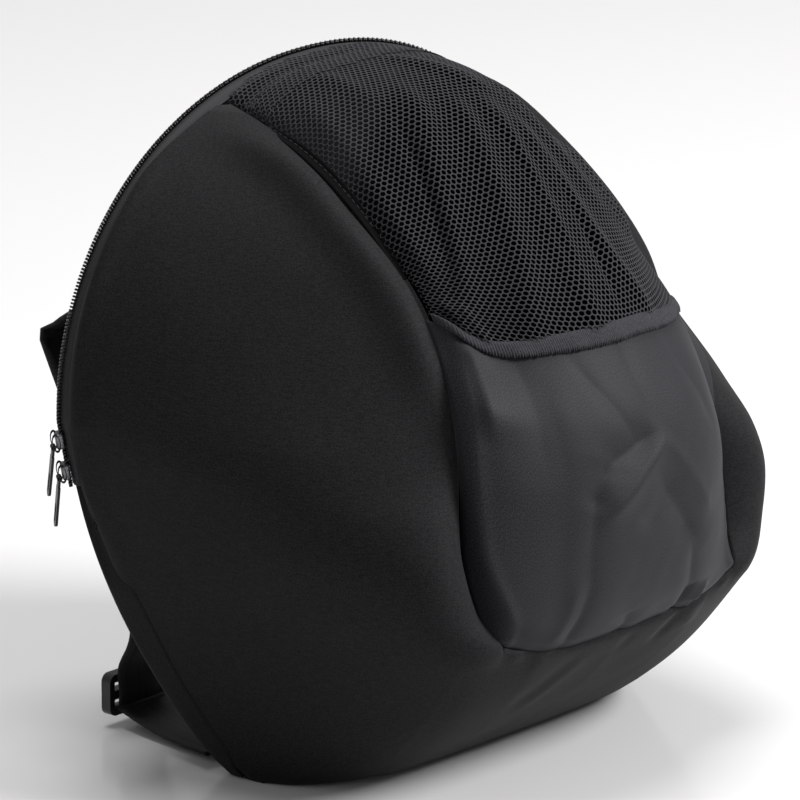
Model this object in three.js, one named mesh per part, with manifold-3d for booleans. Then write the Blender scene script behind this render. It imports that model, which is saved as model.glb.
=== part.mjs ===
// Soft backpack with a domed front, standing on its flat base.
// Millimetres. +X is right seen from the front, -Y is the front, +Y the wearer's back, +Z up.
// The origin is the middle of the base, on the floor.

import * as THREE from 'three';
import { ParametricGeometry } from 'three/addons/geometries/ParametricGeometry.js';
import { mergeGeometries, mergeVertices } from 'three/addons/utils/BufferGeometryUtils.js';
import Module from 'manifold-3d';

const wasm = await Module();
wasm.setup();

// The zip arch: half of a slightly squared ellipse in one upright plane
const ZIP_Y = 112;
const ARCH_HALF_WIDTH = 202;
const ARCH_CENTRE_Z = 205;
const ARCH_RISE = 176.5;
const ARCH_POWER = 2.1;
const ZIP_END_Z = 165;

// Below the arch the sides draw in, and the lower back corners turn forward to the floor
const SIDE_TAPER = 0.23;
const BASE_FOLD = { height: 24, inward: 5 };
const HEEL = { height: 180, forward: 80, power: 2.3, middleKeeps: 0.71 };

// Widths and wall thicknesses of the cloth pieces
const GAP = 0.3;
const EDGE_STRIP = 9;
const WALL = { shell: 4, back: 6, gusset: 2.4, mesh: 1.2, pocket: 1.2, hem: 1.6, tape: 1.2 };
const BACK_INSET = 3.2;
const HEM_LIFT = 2;

// Side sections: where the side panel is sewn to the front, and how its edge rolls ahead of the seam
const SIDE_SECTIONS = [
  { z: 0, seamHalf: 80, seamY: -37, rollOut: 34, rollBack: 4, flat: 0 },
  { z: 5, seamHalf: 84, seamY: -44, rollOut: 36, rollBack: 5, flat: 0 },
  { z: 14, seamHalf: 88, seamY: -57, rollOut: 40, rollBack: 6, flat: 0 },
  { z: 43, seamHalf: 93, seamY: -91, rollOut: 46, rollBack: 8, flat: 0 },
  { z: 75, seamHalf: 97, seamY: -117, rollOut: 50, rollBack: 5, flat: 0 },
  { z: 99, seamHalf: 98, seamY: -128, rollOut: 54, rollBack: -14, flat: 0 },
  { z: 120, seamHalf: 104, seamY: -116, rollOut: 58, rollBack: -38, flat: 0 },
  { z: 149, seamHalf: 107, seamY: -108, rollOut: 60, rollBack: -46, flat: 0 },
  { z: 172, seamHalf: 106, seamY: -105, rollOut: 55, rollBack: -30, flat: 0 },
  { z: 194, seamHalf: 104, seamY: -102, rollOut: 46, rollBack: -2, flat: 0 },
  { z: 235, seamHalf: 98, seamY: -90, rollOut: 32, rollBack: 20, flat: 0.6 },
  { z: 272, seamHalf: 91, seamY: -69, rollOut: 24, rollBack: 24, flat: 0.9 },
  { z: 302, seamHalf: 89, seamY: -41, rollOut: 20, rollBack: 24, flat: 1 },
  { z: 333, seamHalf: 87, seamY: 2, rollOut: 14, rollBack: 20, flat: 1 },
  { z: 352, seamHalf: 85, seamY: 38, rollOut: 8, rollBack: 15, flat: 1 },
  { z: 362, seamHalf: 82, seamY: 70, rollOut: 3, rollBack: 8, flat: 1 },
  { z: 367, seamHalf: 79, seamY: 97, rollOut: 1, rollBack: 2, flat: 1 },
];
const FULL_SIDE = { inward: 0.03, forward: 0.45 };
const FLAT_SIDE = { inward: 0.14, forward: 0.34 };
const POCKET_BOTTOM_Z = 99;
const SEAM_DIP = 11;
const SIDE_TIP_Z = 367;

// Middle line of the wrap where it rises from the floor to the pocket
const UNDER_SECTIONS = [
  { z: 0, centreY: -38 },
  { z: 14, centreY: -59 },
  { z: 43, centreY: -95 },
  { z: 75, centreY: -124 },
  { z: 99, centreY: -139 },
];

// Rows of the front, top to bottom: height of both ends on the side seams, the middle of the row,
// and how squarely the row bulges
const FRONT_ROWS = [
  { row: 0, seamZ: 367, centreY: 102, centreZ: 380.5, full: 3 },
  { row: 1, seamZ: 361, centreY: 64, centreZ: 382, full: 3.4 },
  { row: 2, seamZ: 350, centreY: 20, centreZ: 376, full: 3.2 },
  { row: 3, seamZ: 332, centreY: -19, centreZ: 357, full: 2.4 },
  { row: 4, seamZ: 306, centreY: -58, centreZ: 325, full: 2 },
  { row: 5, seamZ: 284, centreY: -96, centreZ: 288, full: 2 },
  { row: 6, seamZ: 262, centreY: -126, centreZ: 249, full: 2.1 },
  { row: 7, seamZ: 232, centreY: -145, centreZ: 218, full: 2.8 },
  { row: 8, seamZ: 194, centreY: -154, centreZ: 186, full: 3.2 },
  { row: 9, seamZ: 151, centreY: -155, centreZ: 149, full: 3 },
  { row: 10, seamZ: 122, centreY: -149, centreZ: 114, full: 3.4 },
  { row: 11, seamZ: 101, centreY: -135, centreZ: 90, full: 4 },
];

// Line of the hem's lower edge across the front, left to right, in rows
const HEM_LINE = [
  { across: -1, row: 5.47 },
  { across: -0.88, row: 5.92 },
  { across: -0.75, row: 6.03 },
  { across: -0.45, row: 5.92 },
  { across: 0, row: 5.87 },
  { across: 0.4, row: 5.97 },
  { across: 1, row: 6.5 },
];
const HEM_HEIGHT_ROWS = 0.24;
const HEM_GAP_ROWS = 0.015;
const POCKET_TUCK_ROWS = 0.17;
const POCKET_BOTTOM_ROW = 11;

// Zip chain, sliders and pulls
const CHAIN = { radius: 2.3, centreY: ZIP_Y + 2.6, sides: 8, steps: 84 };
const TAPE_STEPS = 60;
const TAPE_BACK = { inset: 3, width: 8, lift: 1.6 };
const SLIDER_HEADING = THREE.MathUtils.degToRad(35);
const SLIDER = { half: 5, plateIn: 2.7, plateOut: 4.3, cheekIn: 0.3, halfWidth: 4, lugIn: 2.3, lugOut: 3.5 };
const PIN = { radius: 0.75, out: 6.2, z: -3.2 };
const PULL = { eyeRadius: 1.6, eyeHole: 1.1, eyeHalf: 2, length: 30, shoulder: 5.5, thickness: 1.5 };
const PULL_BLADE = { half: 3, slotHalf: 1.4, slotTop: 16, slotBottom: 27 };
const SLIDERS = [
  { name: 'upper', z: 193, stands: 15 },
  { name: 'lower', z: 174, stands: 14 },
];

// Straps: middle line of each ribbon on the right side, mirrored for the left
const STRAP_THICKNESS = 4;
const STRAP_SECTIONS = [
  { x: 60, y: 112.5, z: 337, width: 50 },
  { x: 60, y: 132, z: 337, width: 50 },
  { x: 66, y: 150, z: 322, width: 52 },
  { x: 77, y: 149, z: 278, width: 53 },
  { x: 104, y: 201, z: 229, width: 55 },
  { x: 109, y: 170, z: 172, width: 52 },
  { x: 113, y: 146, z: 112, width: 46 },
  { x: 116, y: 132, z: 64, width: 41 },
  { x: 115, y: 141, z: 33, width: 39 },
];
const WEBBING = { thickness: 1.8, width: 38, lockX: 115, seamX: 124, lockY: 139.2, lockZ: 11, seamZ: 4, sag: 3 };
const LOCK = { x: 115, y: 143, z: 19, width: 48, height: 25, depth: 7, corner: 5, slotWidth: 40, slotHeight: 5 };
const LOCK_SLOT_OFFSET = 5.2;

const MATERIALS = {
  foamCloth: { color: 0x1f1f21, roughness: 0.85, metalness: 0 },
  net: { color: 0x4b4b4d, roughness: 0.8, metalness: 0 },
  hem: { color: 0x4a4a4c, roughness: 0.85, metalness: 0 },
  nylon: { color: 0x3a3a3e, roughness: 0.5, metalness: 0 },
  backCloth: { color: 0x1c1c1e, roughness: 0.9, metalness: 0 },
  tape: { color: 0x202022, roughness: 0.8, metalness: 0 },
  coil: { color: 0x161617, roughness: 0.45, metalness: 0 },
  metal: { color: 0x232325, roughness: 0.3, metalness: 0.9 },
  webbing: { color: 0x1b1b1d, roughness: 0.75, metalness: 0 },
  plastic: { color: 0x151516, roughness: 0.4, metalness: 0 },
};

const INSIDE = new THREE.Vector3(0, 0, 170);
const bag = new THREE.Group();

function addMesh(name, geometry, finish) {
  const mesh = new THREE.Mesh(geometry, new THREE.MeshStandardMaterial(MATERIALS[finish]));
  mesh.name = name;
  bag.add(mesh);
  return mesh;
}

// Smooth reading of one column of a table between its rows
function column(table, key, name) {
  const at = table.map((row) => row[key]);
  const value = table.map((row) => row[name]);
  const rise = (i, j) => (value[j] - value[i]) / (at[j] - at[i]);
  const last = at.length - 1;
  const slope = at.map((_, i) => rise(Math.max(i - 1, 0), Math.min(i + 1, last)));
  const upward = at[last] > at[0];
  return (where) => {
    let i = 0;
    while (i < last - 1 && (upward ? where > at[i + 1] : where < at[i + 1])) {
      i += 1;
    }
    const span = at[i + 1] - at[i];
    const t = THREE.MathUtils.clamp((where - at[i]) / span, 0, 1);
    const t2 = t * t;
    const t3 = t2 * t;
    const ends = (2 * t3 - 3 * t2 + 1) * value[i] + (3 * t2 - 2 * t3) * value[i + 1];
    return ends + span * ((t3 - 2 * t2 + t) * slope[i] + (t3 - t2) * slope[i + 1]);
  };
}

const seamHalf = column(SIDE_SECTIONS, 'z', 'seamHalf');
const seamY = column(SIDE_SECTIONS, 'z', 'seamY');
const rollOut = column(SIDE_SECTIONS, 'z', 'rollOut');
const rollBack = column(SIDE_SECTIONS, 'z', 'rollBack');
const flatness = column(SIDE_SECTIONS, 'z', 'flat');
const underY = column(UNDER_SECTIONS, 'z', 'centreY');
const rowSeamZ = column(FRONT_ROWS, 'row', 'seamZ');
const rowCentreY = column(FRONT_ROWS, 'row', 'centreY');
const rowCentreZ = column(FRONT_ROWS, 'row', 'centreZ');
const rowFull = column(FRONT_ROWS, 'row', 'full');
const hemRow = column(HEM_LINE, 'across', 'row');

// Point of the arch at an angle from its right end, drawn in by an inset
function archPoint(angle, y, inset) {
  const [cos, sin] = [Math.cos(angle), Math.sin(angle)];
  const x = Math.sign(cos) * Math.pow(Math.abs(cos), 2 / ARCH_POWER);
  const up = Math.pow(Math.max(sin, 0), 2 / ARCH_POWER);
  return new THREE.Vector3((ARCH_HALF_WIDTH - inset) * x, y, ARCH_CENTRE_Z + (ARCH_RISE - inset) * up);
}

// Half width of the back outline at a height
function backHalf(z) {
  if (z >= ARCH_CENTRE_Z) {
    const up = Math.min((z - ARCH_CENTRE_Z) / ARCH_RISE, 1);
    return ARCH_HALF_WIDTH * Math.pow(1 - Math.pow(up, ARCH_POWER), 1 / ARCH_POWER);
  }
  const fold = Math.max(0, 1 - z / BASE_FOLD.height);
  return ARCH_HALF_WIDTH - SIDE_TAPER * (ARCH_CENTRE_Z - z) - BASE_FOLD.inward * fold * fold;
}

// Back edge at the outline, and the back surface between the two edges
function edgeY(z) {
  const low = Math.max(0, 1 - z / HEEL.height);
  return ZIP_Y - HEEL.forward * Math.pow(low, HEEL.power);
}

function backY(x, z) {
  const across = Math.min(Math.abs(x) / backHalf(z), 1);
  const edge = edgeY(z);
  return edge + HEEL.middleKeeps * (ZIP_Y - edge) * (1 - across * across);
}

// Right side panel: t runs from the back strip to the front seam
function sidePoint(t, z) {
  const start = new THREE.Vector2(backHalf(z), edgeY(z) - EDGE_STRIP - GAP);
  const seam = new THREE.Vector2(seamHalf(z) + GAP / 2, seamY(z));
  const reach = start.distanceTo(seam);
  const inward = THREE.MathUtils.lerp(FULL_SIDE.inward, FLAT_SIDE.inward, flatness(z));
  const forward = THREE.MathUtils.lerp(FULL_SIDE.forward, FLAT_SIDE.forward, flatness(z));
  const leave = new THREE.Vector2(start.x - inward * reach, start.y - forward * reach);
  const roll = new THREE.Vector2(seam.x + rollOut(z), seam.y + rollBack(z));
  const point = new THREE.CubicBezierCurve(start, leave, roll, seam).getPoint(t);
  return new THREE.Vector3(point.x, point.y, z);
}

// Wrap below the pocket: s runs from -1 to 1 between the side sections, and its upper edge dips in the middle
function underPoint(s, z) {
  const seam = sidePoint(1, z);
  const low = z - SEAM_DIP * (1 - Math.pow(s, 4)) * Math.pow(z / POCKET_BOTTOM_Z, 2);
  const y = seam.y + (underY(low) - seam.y) * (1 - s * s);
  return new THREE.Vector3(s * seam.x, y, low);
}

// Front surface between the side seams: s from -1 to 1 across, row from top to bottom
function frontPoint(s, row) {
  const z = rowSeamZ(row);
  const bulge = 1 - Math.pow(Math.abs(s), rowFull(row));
  const half = seamHalf(z) - 2 * GAP;
  const y = seamY(z) + (rowCentreY(row) - seamY(z)) * bulge;
  return new THREE.Vector3(s * half, y, z + (rowCentreZ(row) - z) * bulge);
}

function liftedFrontPoint(s, row, lift) {
  const step = 0.02;
  const point = frontPoint(s, row);
  const across = frontPoint(s + step, row).sub(frontPoint(s - step, row));
  const down = frontPoint(s, row + step).sub(frontPoint(s, row - step));
  const normal = down.cross(across).normalize();
  return point.addScaledVector(normal, normal.y > 0 ? -lift : lift);
}

// Open surfaces: welded grids, then walls of even thickness
function grid(pointAt, across, along) {
  return new ParametricGeometry((u, v, target) => target.copy(pointAt(u, v)), across, along);
}

function weld(parts) {
  for (const part of parts) {
    part.deleteAttribute('normal');
    part.deleteAttribute('uv');
  }
  const surface = mergeVertices(mergeGeometries(parts), 1e-3);
  const index = surface.getIndex().array;
  const kept = [];
  for (let i = 0; i < index.length; i += 3) {
    const [a, b, c] = [index[i], index[i + 1], index[i + 2]];
    if (a !== b && b !== c && c !== a) {
      kept.push(a, b, c);
    }
  }
  surface.setIndex(kept);
  return surface;
}

function flipped(index) {
  const turned = [];
  for (let i = 0; i < index.length; i += 3) {
    turned.push(index[i], index[i + 2], index[i + 1]);
  }
  return turned;
}

function faceAwayFrom(surface, inside) {
  surface.computeVertexNormals();
  const place = surface.getAttribute('position');
  const normal = surface.getAttribute('normal');
  let outward = 0;
  const point = new THREE.Vector3();
  const direction = new THREE.Vector3();
  for (let i = 0; i < place.count; i += 1) {
    point.fromBufferAttribute(place, i).sub(inside);
    outward += point.dot(direction.fromBufferAttribute(normal, i));
  }
  if (outward < 0) {
    surface.setIndex(flipped(Array.from(surface.getIndex().array)));
    surface.computeVertexNormals();
  }
  return surface;
}

// A wall whose outer face stands proud of the surface, and its inner face a wall's thickness below that
function thicken(surface, wall, proud = 0) {
  faceAwayFrom(surface, INSIDE);
  const place = surface.getAttribute('position');
  const normal = surface.getAttribute('normal');
  const outer = Array.from(surface.getIndex().array);
  const count = place.count;
  const points = [];
  const point = new THREE.Vector3();
  const direction = new THREE.Vector3();
  for (const shift of [proud, proud - wall]) {
    for (let i = 0; i < count; i += 1) {
      direction.fromBufferAttribute(normal, i);
      point.fromBufferAttribute(place, i).addScaledVector(direction, shift);
      points.push(point.x, point.y, point.z);
    }
  }
  const faces = outer.concat(flipped(outer).map((i) => i + count));
  const edges = new Set();
  for (let i = 0; i < outer.length; i += 3) {
    for (let k = 0; k < 3; k += 1) {
      edges.add(`${outer[i + k]},${outer[i + ((k + 1) % 3)]}`);
    }
  }
  for (const edge of edges) {
    const [a, b] = edge.split(',').map(Number);
    if (!edges.has(`${b},${a}`)) {
      faces.push(b, a, a + count, b, a + count, b + count);
    }
  }
  const solid = new THREE.BufferGeometry();
  solid.setAttribute('position', new THREE.Float32BufferAttribute(points, 3));
  solid.setIndex(faces);
  solid.computeVertexNormals();
  return solid;
}

function mirrorX(point) {
  return new THREE.Vector3(-point.x, point.y, point.z);
}

// Body shell: left side, bottom and right side in one wrap
const LOWER_ROWS = [0, 4, 10, 20, 36, 56, 78, POCKET_BOTTOM_Z];
const UPPER_ROWS = [POCKET_BOTTOM_Z, 112, 128, 149, 172, 194, 215, 236, 258, 278, 296, 314, 330, 344, 355, 362,
  SIDE_TIP_Z];
const SIDE_COLUMNS = 12;
const UNDER_COLUMNS = 14;
const BASE_ROWS = 4;

function rowAt(rows, v) {
  return rows[Math.round(v * (rows.length - 1))];
}

// Outline of the base, left back corner round the front to the right back corner
function baseOutline(u) {
  const columns = 2 * SIDE_COLUMNS + UNDER_COLUMNS;
  const i = Math.round(u * columns);
  if (i <= SIDE_COLUMNS) {
    return mirrorX(sidePoint(i / SIDE_COLUMNS, 0));
  }
  if (i >= SIDE_COLUMNS + UNDER_COLUMNS) {
    return sidePoint((columns - i) / SIDE_COLUMNS, 0);
  }
  return underPoint((2 * (i - SIDE_COLUMNS)) / UNDER_COLUMNS - 1, 0);
}

function basePoint(u, v) {
  const front = baseOutline(u);
  const back = new THREE.Vector3(front.x, backY(front.x, 0) - EDGE_STRIP - GAP, 0);
  return front.lerp(back, v);
}

function bodyShell() {
  const parts = [
    grid((u, v) => underPoint(2 * u - 1, rowAt(LOWER_ROWS, v)), UNDER_COLUMNS, LOWER_ROWS.length - 1),
    grid((u, v) => basePoint(1 - u, v), 2 * SIDE_COLUMNS + UNDER_COLUMNS, BASE_ROWS),
  ];
  for (const rows of [LOWER_ROWS, UPPER_ROWS]) {
    const count = rows.length - 1;
    parts.push(grid((u, v) => sidePoint(1 - u, rowAt(rows, v)), SIDE_COLUMNS, count));
    parts.push(grid((u, v) => mirrorX(sidePoint(u, rowAt(rows, v))), SIDE_COLUMNS, count));
  }
  return thicken(weld(parts), WALL.shell);
}

const GUSSET_STEPS = 80;

// Back outline as one path: right zip end down, along the floor, up to the left zip end
function heelPoint(v) {
  const side = 0.36;
  if (v < side) {
    const z = ZIP_END_Z * (1 - v / side);
    return new THREE.Vector3(backHalf(z), edgeY(z), z);
  }
  if (v > 1 - side) {
    return mirrorX(heelPoint(1 - v));
  }
  const x = backHalf(0) * (1 - (2 * (v - side)) / (1 - 2 * side));
  return new THREE.Vector3(x, backY(x, 0), 0);
}

function backGusset() {
  const width = EDGE_STRIP - 2 * GAP;
  const strip = (u, v) => heelPoint(v).add(new THREE.Vector3(0, (u - 1) * width, 0));
  return thicken(weld([grid(strip, 1, GUSSET_STEPS)]), WALL.gusset);
}

const BACK_COLUMNS = 10;
const BACK_LOW_ROWS = 8;
const BACK_ARCH_ROWS = 9;
const BACK_TOP_ANGLE = THREE.MathUtils.degToRad(84);

function backPoint(u, v) {
  const i = v * (BACK_LOW_ROWS + BACK_ARCH_ROWS);
  const edge = new THREE.Vector3();
  if (i <= BACK_LOW_ROWS) {
    edge.z = THREE.MathUtils.lerp(BACK_INSET, ARCH_CENTRE_Z, i / BACK_LOW_ROWS);
    edge.x = backHalf(edge.z) - BACK_INSET;
  } else {
    edge.copy(archPoint((BACK_TOP_ANGLE * (i - BACK_LOW_ROWS)) / BACK_ARCH_ROWS, 0, BACK_INSET));
  }
  const x = (2 * u - 1) * edge.x;
  return new THREE.Vector3(x, backY(x, edge.z), edge.z);
}

// Zip path: left end up over the arch to the right end
function zipPoint(v, y) {
  const straight = 0.04;
  if (v < straight) {
    const z = ZIP_END_Z + ((ARCH_CENTRE_Z - ZIP_END_Z) * v) / straight;
    return new THREE.Vector3(-backHalf(z), y, z);
  }
  if (v > 1 - straight) {
    return mirrorX(zipPoint(1 - v, y));
  }
  return archPoint(Math.PI * (1 - (v - straight) / (1 - 2 * straight)), y, 0);
}

function zipInward(v) {
  const step = 0.002;
  const along = zipPoint(Math.min(v + step, 1), 0).sub(zipPoint(Math.max(v - step, 0), 0)).normalize();
  return new THREE.Vector3(along.z, 0, -along.x);
}

function zipTapeFront() {
  const width = EDGE_STRIP - GAP;
  return thicken(weld([grid((u, v) => zipPoint(v, ZIP_Y - width * u), 1, TAPE_STEPS)]), WALL.tape);
}

function zipTapeBack() {
  const strip = (u, v) => {
    const inward = TAPE_BACK.inset + TAPE_BACK.width * u;
    return zipPoint(v, ZIP_Y + TAPE_BACK.lift).addScaledVector(zipInward(v), inward);
  };
  return thicken(weld([grid(strip, 1, TAPE_STEPS)]), WALL.tape);
}

function roundShape(radius, sides) {
  const shape = new THREE.Shape();
  shape.setFromPoints(Array.from({ length: sides }, (_, i) => {
    const angle = (2 * Math.PI * i) / sides;
    return new THREE.Vector2(radius * Math.cos(angle), radius * Math.sin(angle));
  }));
  return shape;
}

function zipChain() {
  const stops = Array.from({ length: CHAIN.steps + 1 }, (_, i) => zipPoint(i / CHAIN.steps, CHAIN.centreY));
  const path = new THREE.CatmullRomCurve3(stops);
  const section = roundShape(CHAIN.radius, CHAIN.sides);
  return new THREE.ExtrudeGeometry(section, { steps: CHAIN.steps, extrudePath: path, bevelEnabled: false });
}

// Joining of hard pieces
function solidOf(geometry) {
  const bare = geometry.clone();
  bare.deleteAttribute('normal');
  bare.deleteAttribute('uv');
  const closed = mergeVertices(bare, 1e-4);
  return new wasm.Manifold(new wasm.Mesh({
    numProp: 3,
    vertProperties: new Float32Array(closed.getAttribute('position').array),
    triVerts: new Uint32Array(closed.getIndex().array),
  }));
}

function geometryOf(solid) {
  const mesh = solid.getMesh();
  const geometry = new THREE.BufferGeometry();
  geometry.setAttribute('position', new THREE.Float32BufferAttribute(mesh.vertProperties, 3));
  geometry.setIndex(Array.from(mesh.triVerts));
  geometry.computeVertexNormals();
  return geometry;
}

function boxBetween(low, high) {
  const size = high.map((value, i) => value - low[i]);
  const box = new THREE.BoxGeometry(...size);
  return solidOf(box.translate(...low.map((value, i) => value + size[i] / 2)));
}

function barAcross(radius, half, x, z) {
  return solidOf(new THREE.CylinderGeometry(radius, radius, 2 * half, 16).translate(x, 0, z));
}

// Slider in its own frame: x outward, y across the chain, z along it
function sliderSolid() {
  const { half, plateIn, plateOut, cheekIn, halfWidth, lugIn, lugOut } = SLIDER;
  const lugTop = PIN.z + PIN.out - plateOut;
  let solid = boxBetween([plateIn, -halfWidth, -half], [plateOut, halfWidth, half]);
  for (const side of [-1, 1]) {
    const cheek = [side * plateIn, side * halfWidth].sort((a, b) => a - b);
    const lug = [side * lugIn, side * lugOut].sort((a, b) => a - b);
    solid = solid.add(boxBetween([cheekIn, cheek[0], -half], [plateOut, cheek[1], half]));
    solid = solid.add(boxBetween([plateOut - 0.5, lug[0], -half], [PIN.out + 1.4, lug[1], lugTop]));
  }
  return solid.add(barAcross(PIN.radius, lugOut - 0.2, PIN.out, PIN.z));
}

// Pull in its own frame: the hinge pin along y at the origin, the blade hanging down
function pullSolid() {
  const { eyeRadius, eyeHole, eyeHalf, length, shoulder, thickness } = PULL;
  const { half, slotHalf, slotTop, slotBottom } = PULL_BLADE;
  const flat = thickness / 2;
  const blade = new THREE.Shape();
  blade.moveTo(-half, -shoulder);
  blade.lineTo(-half, half - length);
  blade.absarc(0, half - length, half, Math.PI, 2 * Math.PI);
  blade.lineTo(half, -shoulder);
  const slot = new THREE.Path();
  slot.absarc(0, slotHalf - slotBottom, slotHalf, Math.PI, 2 * Math.PI);
  slot.absarc(0, -slotTop - slotHalf, slotHalf, 0, Math.PI);
  blade.holes.push(slot);
  const plate = new THREE.ExtrudeGeometry(blade, { depth: thickness, bevelEnabled: false, curveSegments: 8 });
  plate.translate(0, 0, -flat).rotateX(Math.PI / 2).rotateZ(Math.PI / 2);
  const stem = boxBetween([-flat, -eyeHalf, -shoulder - 0.5], [flat, eyeHalf, -eyeHole]);
  const eye = barAcross(eyeRadius, eyeHalf, 0, 0);
  return solidOf(plate).add(stem).add(eye).subtract(barAcross(eyeHole, eyeHalf + 1, 0, 0));
}

function addSliders() {
  const heading = new THREE.Vector3(-Math.cos(SLIDER_HEADING), Math.sin(SLIDER_HEADING), 0);
  for (const { name, z, stands } of SLIDERS) {
    const step = SLIDER.half;
    const along = new THREE.Vector3(backHalf(z - step) - backHalf(z + step), 0, 2 * step).normalize();
    const outward = heading.clone().addScaledVector(along, -heading.dot(along)).normalize();
    const across = along.clone().cross(outward);
    const place = new THREE.Group();
    place.quaternion.setFromRotationMatrix(new THREE.Matrix4().makeBasis(outward, across, along));
    place.position.set(-backHalf(z), CHAIN.centreY, z);
    bag.add(place);
    place.add(addMesh(`zip_slider_${name}`, geometryOf(sliderSolid()), 'metal'));
    const pull = addMesh(`zip_pull_${name}`, geometryOf(pullSolid()), 'metal');
    pull.position.set(PIN.out, 0, PIN.z);
    pull.rotation.y = -THREE.MathUtils.degToRad(stands);
    place.add(pull);
  }
}

// Straps: flat ribbons whose width lies along X
function ribbon(sections, thickness, side, steps) {
  const middle = new THREE.CatmullRomCurve3(
    sections.map(({ x, y, z }) => new THREE.Vector3(side * x, y, z)), false, 'centripetal');
  const width = column(sections.map((row, i) => ({ at: i, width: row.width })), 'at', 'width');
  const last = sections.length - 1;
  const at = (u, v) => {
    const along = middle.getTangent(v);
    const across = new THREE.Vector3(1, 0, 0).addScaledVector(along, -along.x).normalize();
    return middle.getPoint(v).addScaledVector(across, (u - 0.5) * width(v * last));
  };
  return thicken(weld([grid(at, 1, steps)]), thickness, thickness / 2);
}

// Webbing from the buckle to the bottom edge, its sewn end cut to the line of that edge
function lowerWebbing(side) {
  const { thickness, width, lockX, seamX, lockY, lockZ, seamZ, sag } = WEBBING;
  const at = (u, v) => {
    const x = THREE.MathUtils.lerp(lockX, seamX, v) + (u - 0.5) * width;
    const y = THREE.MathUtils.lerp(lockY, backY(x, seamZ + thickness) + 2 * GAP, v);
    const z = THREE.MathUtils.lerp(lockZ, seamZ, v) - sag * Math.sin(Math.PI * v);
    return new THREE.Vector3(side * x, y, z);
  };
  return thicken(weld([grid(at, 3, 10)]), thickness, thickness / 2);
}

function ladderLock(side) {
  const { x, y, z, width, height, depth, corner, slotWidth, slotHeight } = LOCK;
  const outline = (w, h, r, path) => {
    path.moveTo(-w / 2 + r, -h / 2);
    path.lineTo(w / 2 - r, -h / 2);
    path.absarc(w / 2 - r, r - h / 2, r, -Math.PI / 2, 0);
    path.absarc(w / 2 - r, h / 2 - r, r, 0, Math.PI / 2);
    path.absarc(r - w / 2, h / 2 - r, r, Math.PI / 2, Math.PI);
    path.absarc(r - w / 2, r - h / 2, r, Math.PI, 1.5 * Math.PI);
    return path;
  };
  const frame = outline(width, height, corner, new THREE.Shape());
  for (const offset of [-LOCK_SLOT_OFFSET, LOCK_SLOT_OFFSET]) {
    const slot = new THREE.Path();
    slot.setFromPoints([[-1, -1], [1, -1], [1, 1], [-1, 1]].map(([a, b]) =>
      new THREE.Vector2((a * slotWidth) / 2, offset + (b * slotHeight) / 2)));
    frame.holes.push(slot);
  }
  const body = new THREE.ExtrudeGeometry(frame, { depth, bevelEnabled: false, curveSegments: 5 });
  return body.translate(0, 0, -depth / 2).rotateX(Math.PI / 2).translate(side * x, y, z);
}

// Front panels
const FRONT_COLUMNS = 16;

function meshPanel() {
  const at = (u, v) => {
    const s = 2 * u - 1;
    const bottom = hemRow(s) - HEM_HEIGHT_ROWS - HEM_GAP_ROWS;
    const row = v * bottom;
    return liftedFrontPoint(s, row, HEM_LIFT * THREE.MathUtils.smoothstep(row, bottom - 1, bottom));
  };
  return thicken(weld([grid(at, FRONT_COLUMNS, 11)]), WALL.mesh);
}

function hem() {
  const at = (u, v) => {
    const s = 2 * u - 1;
    return liftedFrontPoint(s, hemRow(s) - HEM_HEIGHT_ROWS * (1 - v), HEM_LIFT);
  };
  return thicken(weld([grid(at, FRONT_COLUMNS, 2)]), WALL.hem);
}

function pocket() {
  const at = (u, v) => {
    const s = 2 * u - 1;
    return frontPoint(s, THREE.MathUtils.lerp(hemRow(s) - POCKET_TUCK_ROWS, POCKET_BOTTOM_ROW, v));
  };
  return thicken(weld([grid(at, FRONT_COLUMNS, 12)]), WALL.pocket);
}

addMesh('body_shell', bodyShell(), 'foamCloth');
addMesh('back_panel', thicken(weld([grid(backPoint, BACK_COLUMNS, BACK_LOW_ROWS + BACK_ARCH_ROWS)]), WALL.back),
  'backCloth');
addMesh('back_gusset', backGusset(), 'backCloth');
addMesh('front_mesh_panel', meshPanel(), 'net');
addMesh('mesh_hem', hem(), 'hem');
addMesh('front_pocket', pocket(), 'nylon');
addMesh('zip_tape_front', zipTapeFront(), 'tape');
addMesh('zip_tape_back', zipTapeBack(), 'tape');
addMesh('zip_chain', zipChain(), 'coil');
addSliders();
for (const [name, side] of [['left', -1], ['right', 1]]) {
  addMesh(`shoulder_strap_${name}`, ribbon(STRAP_SECTIONS, STRAP_THICKNESS, side, 40), 'webbing');
  addMesh(`lower_webbing_${name}`, lowerWebbing(side), 'webbing');
  addMesh(`ladder_lock_${name}`, ladderLock(side), 'plastic');
}

export default bag;
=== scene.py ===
# %% [markdown]
# # A soft backpack with a domed front
# The bag is one padded cloth wrap, open at the front and closed there by a hexagon net and a nylon pocket.
# A zip arch joins it to a padded back with two shoulder straps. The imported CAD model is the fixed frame:
# every piece made here lies where its CAD node lies, in metres, with +Z up and the front towards -Y.

import math
from types import SimpleNamespace as Sizes

import bmesh
import bpy
from mathutils import Matrix, Vector, noise


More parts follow.
